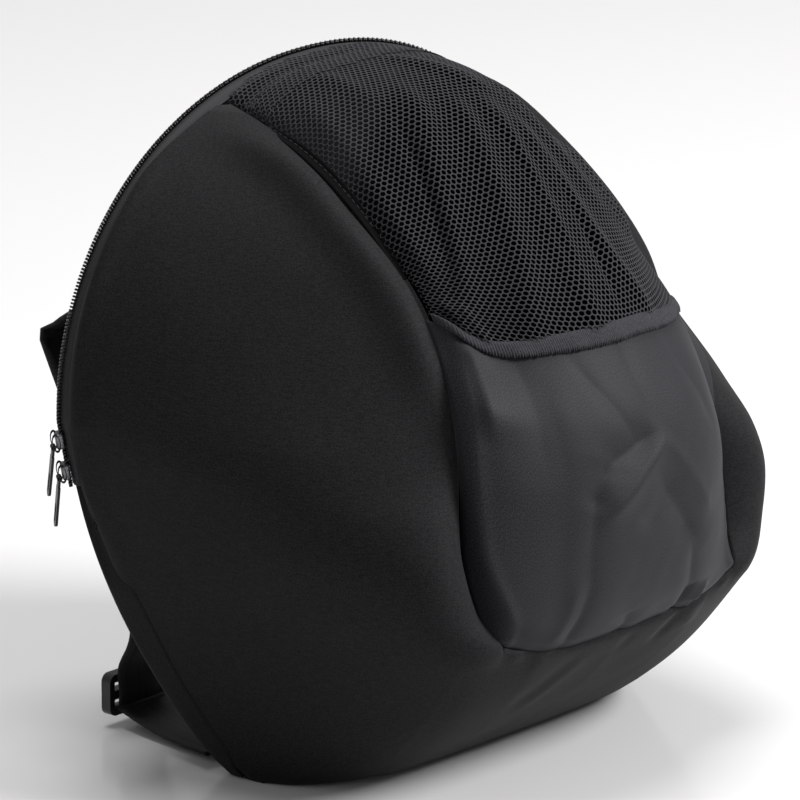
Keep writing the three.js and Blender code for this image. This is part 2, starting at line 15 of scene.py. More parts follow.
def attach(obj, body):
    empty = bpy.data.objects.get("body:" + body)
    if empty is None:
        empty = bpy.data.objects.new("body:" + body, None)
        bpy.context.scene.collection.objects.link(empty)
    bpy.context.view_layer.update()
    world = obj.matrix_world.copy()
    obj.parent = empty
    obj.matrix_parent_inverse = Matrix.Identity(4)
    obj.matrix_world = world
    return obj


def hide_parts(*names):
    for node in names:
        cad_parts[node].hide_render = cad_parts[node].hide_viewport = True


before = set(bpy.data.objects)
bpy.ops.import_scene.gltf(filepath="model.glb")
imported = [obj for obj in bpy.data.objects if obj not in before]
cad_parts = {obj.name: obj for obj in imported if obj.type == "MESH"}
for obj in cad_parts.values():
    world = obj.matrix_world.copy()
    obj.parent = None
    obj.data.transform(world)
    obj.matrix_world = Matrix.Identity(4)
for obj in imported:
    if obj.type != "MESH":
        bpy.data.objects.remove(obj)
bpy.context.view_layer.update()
MM = 0.001
NOISE_SEED = 3
noise.seed_set(NOISE_SEED)

# %% [markdown]
# ## Camera
# The photo looks at the bag's left front from a little above, through a long lens. So the camera stands far
# away, and its focal length follows from the number of image pixels that one millimetre covers.

# %% Camera
IMAGE_PIXELS = 800
PIXELS_PER_MM = 1.7
VIEW = Sizes(azimuth_deg=-47.5, elevation_deg=16.8, distance_mm=4500)
LOOK_AT = Vector((78, 112, 155)) * MM
SENSOR_MM, FAR_CLIP_M = 36, 50


def new_object(name, data):
    """Makes an object for some data and links it to the scene."""
    made = bpy.data.objects.new(name, data)
    bpy.context.scene.collection.objects.link(made)
    return made


def aim(holder, place, target):
    holder.location = place
    holder.rotation_euler = (target - place).to_track_quat("-Z", "Y").to_euler()


turn = math.radians(VIEW.azimuth_deg)
lift = math.radians(VIEW.elevation_deg)
back = Vector((math.sin(turn) * math.cos(lift), -math.cos(turn) * math.cos(lift), math.sin(lift)))
camera_data = bpy.data.cameras.new("camera")
camera_data.sensor_width = SENSOR_MM
camera_data.lens = SENSOR_MM * PIXELS_PER_MM * VIEW.distance_mm / IMAGE_PIXELS
camera_data.clip_end = FAR_CLIP_M
camera = new_object("camera", camera_data)
aim(camera, LOOK_AT + back * VIEW.distance_mm * MM, LOOK_AT)
bpy.context.scene.camera = camera
print("lens", round(camera_data.lens, 1), "mm")

# %% [markdown]
# ## Reading short tables
# A sewn bag is drawn as sections. Each table below has a few named columns, and a smooth curve through the
# rows gives every value in between. That keeps the cloth fair, with no long lists of points.

# %% Tables
def rows(names, values):
    return [dict(zip(names.split(), row)) for row in values]


def clamp(value, low, high):
    return min(max(value, low), high)


def ease(low, high, value):
    t = clamp((value - low) / (high - low), 0, 1)
    return t * t * (3 - 2 * t)


def within(value, rise, fall):
    """1 from the end of rise to the start of fall, eased to 0 before and after."""
    return ease(*rise, value) * (1 - ease(*fall, value))


def hump(offset, width):
    return math.exp(-(offset / width) ** 2)


def blend(a, b, t):
    return a + (b - a) * t


def column(table, key, name):
    """Smooth reading of one column between the table's rows."""
    at = [row[key] for row in table]
    value = [row[name] for row in table]
    last = len(at) - 1
    ends = [(max(i - 1, 0), min(i + 1, last)) for i in range(last + 1)]
    slope = [(value[j] - value[i]) / (at[j] - at[i]) for i, j in ends]

    def read(where):
        i = 0
        while i < last - 1 and where > at[i + 1]:
            i += 1
        span = at[i + 1] - at[i]
        t = clamp((where - at[i]) / span, 0, 1)
        bend = span * (t * (1 - t) ** 2 * slope[i] - t * t * (1 - t) * slope[i + 1])
        return blend(value[i], value[i + 1], ease(0, 1, t)) + bend

    return read


def readers(table):
    """A reading function for every column after the first, which is the key."""
    key, *names = table[0]
    return [column(table, key, name) for name in names]


# %% [markdown]
# ## Sections of the bag
# The tables are in millimetres, fitted to the outlines in the photo. SIDE_SECTIONS cuts the side panel at a
# height z. FRONT_ROWS runs down the front from the zip (row 0) to the seam under the pocket (row 11).

# %% Sections
SIDE_SECTIONS = rows("z seam_half seam_y roll_out roll_back flat", [
    (0, 80, -37, 34, 4, 0), (5, 84, -44, 36, 5, 0), (14, 88, -57, 40, 6, 0), (43, 93, -91, 46, 8, 0),
    (75, 97, -117, 50, 5, 0), (99, 98, -128, 54, -14, 0), (120, 104, -116, 58, -38, 0),
    (149, 107, -108, 60, -46, 0), (172, 106, -105, 55, -30, 0), (194, 104, -102, 46, -2, 0),
    (235, 98, -90, 32, 20, 0.6), (272, 91, -69, 24, 24, 0.9), (302, 89, -41, 20, 24, 1),
    (333, 87, 2, 14, 20, 1), (352, 85, 38, 8, 15, 1), (362, 82, 70, 3, 8, 1), (367, 79, 97, 1, 2, 1),
])
UNDER_SECTIONS = rows("z centre_y", [(0, -38), (14, -59), (43, -95), (75, -124), (99, -139)])
FRONT_ROWS = rows("row seam_z centre_y centre_z full", [
    (0, 367, 102, 380.5, 3), (1, 361, 64, 382, 3.4), (2, 350, 20, 376, 3.2), (3, 332, -19, 357, 2.4),
    (4, 306, -58, 325, 2), (5, 284, -96, 288, 2), (6, 262, -126, 249, 2.1), (7, 232, -145, 218, 2.8),
    (8, 194, -154, 186, 3.2), (9, 151, -155, 149, 3), (10, 122, -149, 114, 3.4), (11, 101, -135, 90, 4),
])
HEM_LINE = rows("across row", [
    (-1, 5.47), (-0.88, 5.92), (-0.75, 6.03), (-0.45, 5.92), (0, 5.87), (0.4, 5.97), (1, 6.5),
])
HEM_ROWS = 0.24
POCKET_TOP_Z, SIDE_TIP_Z, POCKET_ROW, SEAM_DIP = 99, 367, 11, 11
ZIP_Y, ZIP_END_Z, EDGE_STRIP, TAPE_LAP = 112, 165, 9, 5.5
EDGE_GAP, SEAM_GAP, FRONT_GAP = 0.3, 0.15, 0.6
SIDES = ("left", -1), ("right", 1)
LAPPED_Z = (105, 172), (335, 366)
LEAVE_ROUND, LEAVE_FLAT = (0.03, 0.45), (0.14, 0.34)
INNER_S, FIRST_ROW, LAST_ROW, STEP_S, STEP_ROW = 0.97, 0.05, 10.9, 0.02, 0.05
ARCH = Sizes(half=202, centre=205, rise=176.5, power=2.1)
SIDE_TAPER, FOLD_HEIGHT, FOLD_IN = 0.23, 24, 5
HEEL = Sizes(height=180, forward=80, power=2.3, middle=0.71)
INSIDE = Vector((0, 0, 170))

seam_half, seam_y, roll_out, roll_back, flat = readers(SIDE_SECTIONS)
row_z, row_y, row_top, row_full = readers(FRONT_ROWS)
[under_y], [hem_row] = readers(UNDER_SECTIONS), readers(HEM_LINE)
print("sections", len(SIDE_SECTIONS), "front rows", len(FRONT_ROWS))

# %% [markdown]
# ## The bag's surfaces
# Four surfaces cover the bag: the two side panels, the wrap under the pocket, the front between the side
# seams, and the back. Each is a function of two numbers, so cloth, net, hem and stitching can all be laid on
# the same surface and meet at the same seams.

# %% Surfaces
def flip_x(point):
    return Vector((-point.x, point.y, point.z))


def back_half(z):
    if z >= ARCH.centre:
        up = min((z - ARCH.centre) / ARCH.rise, 1)
        return ARCH.half * (1 - up ** ARCH.power) ** (1 / ARCH.power)
    return ARCH.half - SIDE_TAPER * (ARCH.centre - z) - FOLD_IN * max(0, 1 - z / FOLD_HEIGHT) ** 2


def edge_y(z):
    return ZIP_Y - HEEL.forward * max(0, 1 - z / HEEL.height) ** HEEL.power


def back_y(x, z):
    across = min(abs(x) / max(back_half(z), 1), 1)
    return edge_y(z) + HEEL.middle * (ZIP_Y - edge_y(z)) * (1 - across * across)


def lapped(z):
    """How far the side cloth laps over the zip tape: fully beside the zip, not at its ends."""
    return within(z, *LAPPED_Z)


def side_section(z):
    start = Vector((back_half(z), edge_y(z) - EDGE_STRIP - EDGE_GAP + TAPE_LAP * lapped(z)))
    seam = Vector((seam_half(z) + SEAM_GAP, seam_y(z)))
    reach = (seam - start).length
    share = [blend(full, straight, flat(z)) for full, straight in zip(LEAVE_ROUND, LEAVE_FLAT)]
    leave = start - Vector(share) * reach
    return start, leave, seam + Vector((roll_out(z), roll_back(z))), seam


def side_point(t, z):
    a, b, c, d = side_section(z)
    k = 1 - t
    point = a * k ** 3 + b * 3 * k * k * t + c * 3 * k * t * t + d * t ** 3
    return Vector((point.x, point.y, z))


def under_point(s, z):
    seam = side_point(1, z)
    low = z - SEAM_DIP * (1 - s ** 4) * (z / POCKET_TOP_Z) ** 2
    return Vector((s * seam.x, blend(seam.y, under_y(low), 1 - s * s), low))


def front_point(s, row):
    z = row_z(row)
    bulge = 1 - min(abs(s), 1) ** row_full(row)
    y, up = blend(seam_y(z), row_y(row), bulge), blend(z, row_top(row), bulge)
    return Vector((s * (seam_half(z) - FRONT_GAP), y, up))


def arch_point(angle, y, inset):
    cos, sin = math.cos(angle), math.sin(angle)
    x = math.copysign(abs(cos) ** (2 / ARCH.power), cos)
    up = max(sin, 0) ** (2 / ARCH.power)
    return Vector(((ARCH.half - inset) * x, y, ARCH.centre + (ARCH.rise - inset) * up))


def outward(surface, a, b, da, db):
    """Unit normal of a surface at (a, b), turned away from the inside of the bag."""
    one = surface(a + da, b) - surface(a - da, b)
    two = surface(a, b + db) - surface(a, b - db)
    normal = one.cross(two).normalized()
    return normal if normal.dot(surface(a, b) - INSIDE) > 0 else -normal


def front_normal(s, row):
    return outward(front_point, clamp(s, -INNER_S, INNER_S), clamp(row, FIRST_ROW, LAST_ROW), STEP_S, STEP_ROW)


print("front middle", [round(x) for x in front_point(0, 6)], "side", [round(x) for x in side_point(0.5, 150)])

# %% [markdown]
# ## Folds
# A fold in cloth is a soft ridge or valley that fades at its ends. Each row of a fold table gives a line on
# the surface, how wide the fold is and how far it rises, and their sum moves the cloth along its normal.

# %% Folds
FOLD_COLUMNS = "a0 b0 a1 b1 width rise"
FOLD_ENDS = (-0.25, 0.2), (0.8, 1.25)


def fold_height(folds, a, b, size, sharp=2):
    """Sum of the folds at (a, b); size is one unit of a and of b in mm. Nylon creases have sharp near 1."""
    total = 0
    for fold in folds:
        start = Vector((fold["a0"] * size[0], fold["b0"] * size[1]))
        run = Vector((fold["a1"] * size[0], fold["b1"] * size[1])) - start
        here = Vector((a * size[0], b * size[1])) - start
        along = here.dot(run) / run.length_squared
        off = abs(here.x * run.y - here.y * run.x) / run.length
        total += fold["rise"] * within(along, *FOLD_ENDS) * math.exp(-((off / fold["width"]) ** sharp))
    return total


def uneven(point, waves):
    """Uneven lie of cloth: noise of several wave lengths and heights."""
    return sum((noise.noise_vector(point / length) * rise for length, rise in waves), Vector())


# %% [markdown]
# ## Materials
# Everything on this bag is black, so the finishes tell the pieces apart: matte weave, satin nylon, grey net
# thread, ribbed elastic, gloss paint. Each one starts from the real material, with its own thread spacing.

# %% Node helper
def linear(hex_colour):
    """sRGB hex to linear RGBA."""
    parts = [int(hex_colour[i:i + 2], 16) / 255 for i in (1, 3, 5)]
    return [c / 12.92 if c <= 0.04045 else ((c + 0.055) / 1.055) ** 2.4 for c in parts] + [1]


def add(tree, kind, settings=None, links=None):
    """Adds a node, gives its settings by socket or property name, and links its inputs."""
    node = tree.nodes.new(kind)
    for name, value in (settings or {}).items():
        if isinstance(name, int) or name in node.inputs:
            node.inputs[name].default_value = value
        else:
            setattr(node, name, value)
    for name, source in (links or {}).items():
        tree.links.new(source, node.inputs[name])
    return node


def new_material(name, shader_settings):
    print("material", name)
    material = bpy.data.materials.new(name)
    material.use_nodes = True
    shader = material.node_tree.nodes["Principled BSDF"]
    for socket, value in shader_settings.items():
        shader.inputs[socket].default_value = value
    return material, material.node_tree, shader


def two_tone(name, low, high, ramp, mask_of, depth_mm, strength, sockets):
    """A material whose mask gives the colour, from low to high over the ramp, and the bump."""
    material, tree, shader = new_material(name, sockets)
    mask = mask_of(tree)
    share = add(tree, "ShaderNodeMapRange", {"From Min": ramp[0], "From Max": ramp[1]}, {"Value": mask})
    mix = add(tree, "ShaderNodeMix", {"data_type": "RGBA", 6: linear(low), 7: linear(high)}, {0: share.outputs[0]})
    bump = add(tree, "ShaderNodeBump", {"Strength": strength, "Distance": depth_mm * MM}, {"Height": mask})
    tree.links.new(mix.outputs[2], shader.inputs["Base Color"])
    tree.links.new(bump.outputs[0], shader.inputs["Normal"])
    return material


def noise_mask(tree, place, scale, detail, roughness):
    settings = {"Scale": scale, "Detail": detail, "Roughness": roughness}
    return add(tree, "ShaderNodeTexNoise", settings, {"Vector": place}).outputs["Fac"]


def grain(tree, size_mm, detail, roughness):
    """Noise in space with a grain of a real size."""
    place = add(tree, "ShaderNodeTexCoord").outputs["Object"]
    return noise_mask(tree, place, 1 / (size_mm * MM), detail, roughness)


def cloth_grain(tree, stretch, turn_degrees, scale, detail, roughness):
    """Noise on the cloth's own UV map, whose unit is one millimetre."""
    place = add(tree, "ShaderNodeTexCoord").outputs["UV"]
    turned = add(tree, "ShaderNodeMapping", {"Scale": stretch, "Rotation": (0, 0, math.radians(turn_degrees))},
                 {"Vector": place})
    return noise_mask(tree, turned.outputs[0], scale, detail, roughness)


WAVES_PER_UNIT = 0.314


def weave_height(tree, warp_mm, weft_mm):
    """Plain weave: warp and weft waves on the cloth's UV map."""
    place = add(tree, "ShaderNodeTexCoord")
    warp, weft = (
        add(tree, "ShaderNodeTexWave", {"bands_direction": direction, "Scale": WAVES_PER_UNIT / pitch,
                                        "Distortion": 0.6, "Detail": 1.0}, {"Vector": place.outputs["UV"]})
        for pitch, direction in ((warp_mm, "X"), (weft_mm, "Y")))
    both = add(tree, "ShaderNodeMath", {"operation": "ADD"}, {0: warp.outputs["Fac"], 1: weft.outputs["Fac"]})
    return both.outputs[0]


# %% [markdown]
# ### Foam-backed polyester
# The side panels are a fine plain-woven polyester bonded to foam: matte, nearly black, with a fine speckle
# where single threads catch the light. A noise at thread size gives the speckle, and a second one, drawn out
# along the weft, gives the faint streaks of the weave. The thread is about 0.3 mm, too fine for the image, so
# both are drawn near 1 mm.

# %% Foam-backed polyester
def foam_mask(tree):
    speck = grain(tree, 0.75, 1.5, 0.7)
    streak = cloth_grain(tree, (0.14, 1.4, 1.0), 0, 1.0, 1.0, 0.5)
    return add(tree, "ShaderNodeMath", {"operation": "MULTIPLY_ADD", 1: 0.35}, {0: streak, 2: speck}).outputs[0]


foam_polyester = two_tone("foam_backed_polyester", "#0c0c0d", "#202022", (0.53, 0.83), foam_mask, 0.08, 0.5, {
    "Roughness": 0.75, "Specular IOR Level": 0.12, "Sheen Weight": 0.03, "Sheen Roughness": 0.45})

# %% [markdown]
# ### Satin nylon
# The pocket is a thin filament nylon with a close twill. Filament reflects more than spun yarn, so it is the
# brightest cloth on the bag, slightly blue, with a soft gloss.

# %% Satin nylon
def twill_mask(tree):
    return cloth_grain(tree, (1.5, 0.9, 1.0), 28, 1.5, 2.0, 0.75)


satin_nylon = two_tone("satin_filament_nylon", "#131315", "#323236", (0.36, 0.64), twill_mask, 0.05, 0.4, {
    "Roughness": 0.6, "Specular IOR Level": 0.12, "Sheen Weight": 0.02, "Sheen Roughness": 0.4})

# %% [markdown]
# ### Net thread, elastic, tape, webbing and back cloth
# The net is knitted from thick spun thread, a good deal greyer than the rest. The hem is the same thread in a
# ribbed elastic. Tape and webbing are close plain weaves, and the back is a brushed cloth over foam.

# %% Thread and tape cloths
GRAIN_RAMP, WEAVE_RAMP = (0.35, 0.65), (0.3, 1.7)


def thread_cloth(name, low, high, roughness, grain_mm, sheen, specular):
    """Spun-thread cloth: fine fibre noise at a real grain size."""
    return two_tone(name, low, high, GRAIN_RAMP, lambda tree: grain(tree, grain_mm, 2.0, 0.65), 0.15, 0.6, {
        "Roughness": roughness, "Specular IOR Level": specular, "Sheen Weight": sheen, "Sheen Roughness": 0.5})


def woven_cloth(name, low, high, roughness, warp_mm, weft_mm, depth_mm):
    """Plain weave on a UV map in millimetres, with thread-to-thread colour variation."""
    return two_tone(name, low, high, WEAVE_RAMP, lambda tree: weave_height(tree, warp_mm, weft_mm), depth_mm, 0.8,
                    {"Roughness": roughness, "Specular IOR Level": 0.35})


net_thread = thread_cloth("tricot_net_thread", "#1a1a1d", "#2b2b30", 0.7, 0.7, 0.05, 0.2)
hem_elastic = thread_cloth("ribbed_elastic", "#18181b", "#313136", 0.75, 0.8, 0.05, 0.2)
# The seam binding is near black, darker than the other cloths: painted shade for the recess between roll and net.
binding_cloth_painted_shade = thread_cloth("seam_binding_painted_shade", "#060607", "#0c0c0d", 0.85, 0.9, 0.0, 0.05)
back_cloth = thread_cloth("brushed_back_cloth", "#111112", "#1f1f21", 0.9, 1.0, 0.03, 0.15)
zip_tape = woven_cloth("zip_tape_weave", "#131315", "#212124", 0.7, 1.2, 1.2, 0.1)
strap_webbing = woven_cloth("polypropylene_webbing", "#101011", "#19191b", 0.65, 1.6, 2.4, 0.12)

# %% [markdown]
# ### Coil nylon, painted zinc and moulded acetal
# The coil is bare nylon monofilament, smooth and a little glossy. The slider bodies are a light grey metal whose
# colour is a painted highlight, standing in for light on their glossy black sides; their loops and the pulls are
# painted black.
# The buckles are moulded acetal with a fine spark texture.

# %% Hard materials
def hard_finish(name, low, high, roughness, grain_mm, depth_mm, sockets):
    """Moulded or painted surface: fine grain in the colour and the bump."""
    return two_tone(name, low, high, GRAIN_RAMP, lambda tree: grain(tree, grain_mm, 3.0, 0.5), depth_mm, 0.5,
                    {"Roughness": roughness, **sockets})


coil_nylon = hard_finish("nylon_coil", "#0a0a0b", "#171718", 0.25, 0.8, 0.03, {"Specular IOR Level": 0.4})
painted_zinc = hard_finish("painted_zinc_casting", "#090909", "#131314", 0.35, 1.5, 0.01,
                           {"Specular IOR Level": 0.25})
# Slider bodies: light grey metal, a painted highlight for the light on their glossy black sides.
slider_body_painted_highlight = hard_finish("slider_body_grey_painted_highlight", "#58585b", "#77777a", 0.38, 1.2, 0.02, {"Metallic": 0.9})
moulded_acetal = hard_finish("moulded_acetal", "#0f0f10", "#1b1b1d", 0.38, 0.5, 0.02, {"Specular IOR Level": 0.5})
print("materials", len(bpy.data.materials))

# %% [markdown]
# ## Laying cloth
# A piece of cloth starts as a flat bmesh grid with its own UV map in millimetres. Its points are then carried
# onto the bag, and a Solidify modifier gives the wall its thickness on the inner side.

# %% Cloth helpers
def lay_patch(mesh, columns, rows_along, carry, cloth_mm):
    """A flat grid whose points are carried onto the bag by carry(u, v), in millimetres."""
    uv = mesh.loops.layers.uv.verify()
    made = bmesh.ops.create_grid(mesh, x_segments=columns, y_segments=rows_along, size=0.5)["verts"]
    for face in {face for vert in made for face in vert.link_faces}:
        for loop in face.loops:
            flat_place = loop.vert.co
            loop[uv].uv = ((flat_place.x + 0.5) * cloth_mm[0], (flat_place.y + 0.5) * cloth_mm[1])
    for vert in made:
        vert.co = carry(vert.co.x + 0.5, vert.co.y + 0.5) * MM


def face_out(mesh):
    """Turns a sheet's faces away from the inside of the bag."""
    bmesh.ops.recalc_face_normals(mesh, faces=mesh.faces)
    mesh.normal_update()
    inside = INSIDE * MM
    if sum(face.normal.dot(face.calc_center_median() - inside) * face.calc_area() for face in mesh.faces) < 0:
        bmesh.ops.reverse_faces(mesh, faces=mesh.faces)


def strip(carry, columns, steps, cloth_mm):
    mesh = bmesh.new()
    lay_patch(mesh, columns, steps, carry, cloth_mm)
    face_out(mesh)
    return mesh


def relax(mesh, verts, times):
    for _ in range(times):
        bmesh.ops.smooth_vert(mesh, verts=verts, factor=0.5, use_axis_x=True, use_axis_y=True, use_axis_z=True)


def tuck(distance, roll):
    """Edge of cloth rolled down towards its seam."""
    return -roll.depth * max(0, 1 - distance / roll.width) ** 2


def finish_piece(name, mesh, material, nodes, wall_mm=0, offset=-1):
    """Makes the object, gives it its wall, material and body, and hides the CAD nodes it stands for."""
    data = bpy.data.meshes.new(name)
    mesh.to_mesh(data)
    mesh.free()
    data.shade_smooth()
    data.materials.append(material)
    piece = new_object(name, data)
    if wall_mm:
        wall = piece.modifiers.new("wall", "SOLIDIFY")
        wall.thickness = wall_mm * MM
        wall.offset = offset
    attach(piece, "bag")
    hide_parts(*nodes)
    print(name, len(data.polygons), "faces")
    return piece


# %% Small repeated shapes
def standing(origin, along, normal):
    """Place of a small shape: its Y along the seam or chain, its Z away from the surface."""
    place = Matrix((along.cross(normal), along, normal)).transposed().to_4x4()
    place.translation = origin
    return place


def place_copies(shape, places):
    """One small shape copied to every place, as one mesh in metres."""
    data = bpy.data.meshes.new("small_shape")
    shape.to_mesh(data)
    shape.free()
    many = bmesh.new()
    for place in places:
        before = len(many.verts)
        many.from_mesh(data)
        many.verts.ensure_lookup_table()
        bmesh.ops.transform(many, matrix=Matrix.Scale(MM, 4) @ place, verts=many.verts[before:])
    bmesh.ops.recalc_face_normals(many, faces=many.faces)
    bpy.data.meshes.remove(data)
    return many


def bevel_edges(mesh, width_mm, segments):
    bmesh.ops.bevel(mesh, geom=mesh.edges[:], offset=width_mm, offset_type="OFFSET", affect="EDGES",
                    segments=segments, profile=0.5, material=-1)


def bevelled_block(size, bevel_mm):
    block = bmesh.new()
    bmesh.ops.create_cube(block, size=1)
    bmesh.ops.scale(block, verts=block.verts, vec=size)
    bevel_edges(block, bevel_mm, 1)
    return block


# %% [markdown]
# ## Body shell
# On the real bag one length of foam-backed cloth runs down the left side, under the pocket and up the right
# side, with no seam at the corners. Four patches share their edges and are welded into one sheet. Its edge
# rolls down into the front seam, and the foot of the wall is rounded by smoothing it against the floor.

# %% Body shell
SEAM_ROLL = Sizes(width=22, depth=8)
SEAM_SWELL = Sizes(rise=5, at=25, width=20)
SEAM_Z, UPPER_Z = ((94, 112), (345, 366)), (225, 275)
BACK_ROLL, BACK_ROLL_END_Z = Sizes(width=6, depth=2), (335, 360)
OVER_TAPE = Sizes(rise=2.2, fade=(2, 14))
FOAM_WAVES, FOOT_STILL_Z, MIDDLE_STILL_X = ((75, 1.6), (31, 0.5)), (0, 30), 30
BESIDE_POCKET, BESIDE_POCKET_FAR = 0.45, 0.15
FAR_OUT = Vector((0.8, -0.6, 0))
FAR_BELLY = Sizes(rise=4, z=175, tall=42, t=((0.35, 0.7), (0.85, 1)))
FAR_SINK = Sizes(depth=7, z=248, tall=24, t=(0.55, 0.95))
WRAP_ROLL, WAVE_MM = Sizes(width=5, depth=2.5), (95, 1.2)
SIDE_COLUMNS, UNDER_COLUMNS, LOWER_STEPS, UPPER_STEPS, BASE_STEPS = 64, 56, 30, 84, 12
BASE_COLUMNS = 2 * SIDE_COLUMNS + UNDER_COLUMNS
SIDE_WIDE_MM, UNDER_MM, BASE_MM, SHELL_WALL_MM = 250, (190, 150), (480, 110), 4
PATCH_WELD_MM, BASE_WELD_MM = 0.4, 0.05
FOOT = Sizes(height=16, heel_clear=14, times=8)
CORNER = Sizes(from_z=10, to_z=92, near=26, times=30)
LOWER_WAVES = rows(FOLD_COLUMNS, [
    (-0.35, 88, -0.62, 52, 9, -0.8), (-0.3, 82, -0.5, 48, 7, 0.7), (0.5, 94, 0.42, 76, 5, -1.8),
    (0.1, 92, 0.05, 80, 6, -0.7), (0.62, 94, 0.66, 78, 5, 1.2), (-0.78, 97, -0.84, 82, 5, -1.2),
    (-0.9, 98, -0.94, 84, 4, 1.0),
])


def side_reach(z):
    return (side_section(z)[3] - side_section(z)[0]).length


def side_relief(t, z, beside_pocket):
    """Height of the panel over its smooth surface: rolled at both seams, swollen beside the net."""
    reach = side_reach(z)
    to_seam = (1 - t) * reach
    upper = ease(*UPPER_Z, z)
    rolled = tuck(to_seam, SEAM_ROLL) * blend(beside_pocket, 1, upper)
    swollen = SEAM_SWELL.rise * upper * hump(to_seam - SEAM_SWELL.at, SEAM_SWELL.width)
    over_tape = OVER_TAPE.rise * lapped(z) * (1 - ease(*OVER_TAPE.fade, t * reach))
    at_back = tuck(t * reach, BACK_ROLL) * (1 - ease(*BACK_ROLL_END_Z, z))
    return (rolled + swollen) * within(z, *SEAM_Z) + at_back + over_tape


def swell(point):
    """Broad uneven lie of foam cloth, the same for every patch that meets here."""
    half = Vector((abs(point.x), point.y, point.z))
    lie = uneven(half, FOAM_WAVES)
    lie.x *= clamp(point.x / MIDDLE_STILL_X, -1, 1)
    lie.z *= ease(*FOOT_STILL_Z, point.z)
    return point + lie


def side_cloth(t, z, beside_pocket=BESIDE_POCKET):
    step_t, step_z = 0.004, 0.5
    at = clamp(t, step_t, 1 - step_t), clamp(z, step_z, SIDE_TIP_Z - step_z)
    normal = outward(side_point, *at, step_t, step_z)
    return swell(side_point(t, z) + normal * side_relief(t, z, beside_pocket))


def right_side_cloth(t, z):
    """The far side bellies out more beside the pocket and sinks in below the hem."""
    bellied = hump(z - FAR_BELLY.z, FAR_BELLY.tall) * within(t, *FAR_BELLY.t)
    sunk = hump(z - FAR_SINK.z, FAR_SINK.tall) * ease(*FAR_SINK.t, t)
    return side_cloth(t, z, BESIDE_POCKET_FAR) + FAR_OUT * (FAR_BELLY.rise * bellied - FAR_SINK.depth * sunk)


def under_cloth(s, z):
    edge = 1 - abs(s) ** 10
    at_seam = tuck(POCKET_TOP_Z - z, WRAP_ROLL) * edge
    step_s, step_z = 0.01, 1
    normal = outward(under_point, s, clamp(z, step_z, POCKET_TOP_Z - step_z), step_s, step_z)
    return swell(under_point(s, z) + normal * (at_seam + edge * fold_height(LOWER_WAVES, s, z, WAVE_MM)))


def base_point(outline, v):
    back = max(back_y(outline.x, 0) - EDGE_STRIP - EDGE_GAP, outline.y + 2 * EDGE_GAP)
    return blend(outline, Vector((outline.x, back, 0)), v)


def base_outline(u):
    i = round(u * BASE_COLUMNS)
    if i <= SIDE_COLUMNS:
        return flip_x(side_cloth(i / SIDE_COLUMNS, 0))
    if i >= SIDE_COLUMNS + UNDER_COLUMNS:
        return side_cloth((BASE_COLUMNS - i) / SIDE_COLUMNS, 0)
    return under_cloth(2 * (i - SIDE_COLUMNS) / UNDER_COLUMNS - 1, 0)


shell = bmesh.new()
for low, high, steps in ((0, POCKET_TOP_Z, LOWER_STEPS), (POCKET_TOP_Z, SIDE_TIP_Z, UPPER_STEPS)):
    cloth_mm = (SIDE_WIDE_MM, high - low)
    lay_patch(shell, SIDE_COLUMNS, steps, lambda u, v: flip_x(side_cloth(u, blend(low, high, v))), cloth_mm)
    lay_patch(shell, SIDE_COLUMNS, steps, lambda u, v: right_side_cloth(u, blend(low, high, v)), cloth_mm)
lay_patch(shell, UNDER_COLUMNS, LOWER_STEPS, lambda u, v: under_cloth(2 * u - 1, POCKET_TOP_Z * v), UNDER_MM)
bmesh.ops.remove_doubles(shell, verts=shell.verts, dist=PATCH_WELD_MM * MM)
face_out(shell)
walls = set(shell.faces)
lay_patch(shell, BASE_COLUMNS, BASE_STEPS, lambda u, v: base_point(base_outline(u), v), BASE_MM)
base = [face for face in shell.faces if face not in walls]
bmesh.ops.reverse_faces(shell, faces=base)
shell.normal_update()
bmesh.ops.delete(shell, geom=[face for face in base if face.normal.z > 0], context="FACES")
bmesh.ops.remove_doubles(shell, verts=shell.verts, dist=BASE_WELD_MM * MM)
heel_corner = side_point(0, 0).xy
foot, corners = [], []
for vert in shell.verts:
    place, z = Vector((abs(vert.co.x), vert.co.y)) / MM, vert.co.z / MM
    if z < FOOT.height and not vert.is_boundary and (place - heel_corner).length > FOOT.heel_clear:
        foot.append(vert)
    if CORNER.from_z < z < CORNER.to_z and (place - side_point(1, z).xy).length < CORNER.near:
        corners.append(vert)
relax(shell, corners, CORNER.times)
relax(shell, foot, FOOT.times)
body_shell = finish_piece("body_shell_cloth", shell, foam_polyester, ["body_shell"], SHELL_WALL_MM)

# %% [markdown]
# ## Front pocket
# The lower front is one loose panel of satin nylon. A pleat runs down each side a few millimetres inside the
# seam, the bottom seam is puckered, and broad wrinkles cross the middle where the empty pocket sags. At the far
# edge, below the hem, the nylon runs on round the corner and lies over the panel.

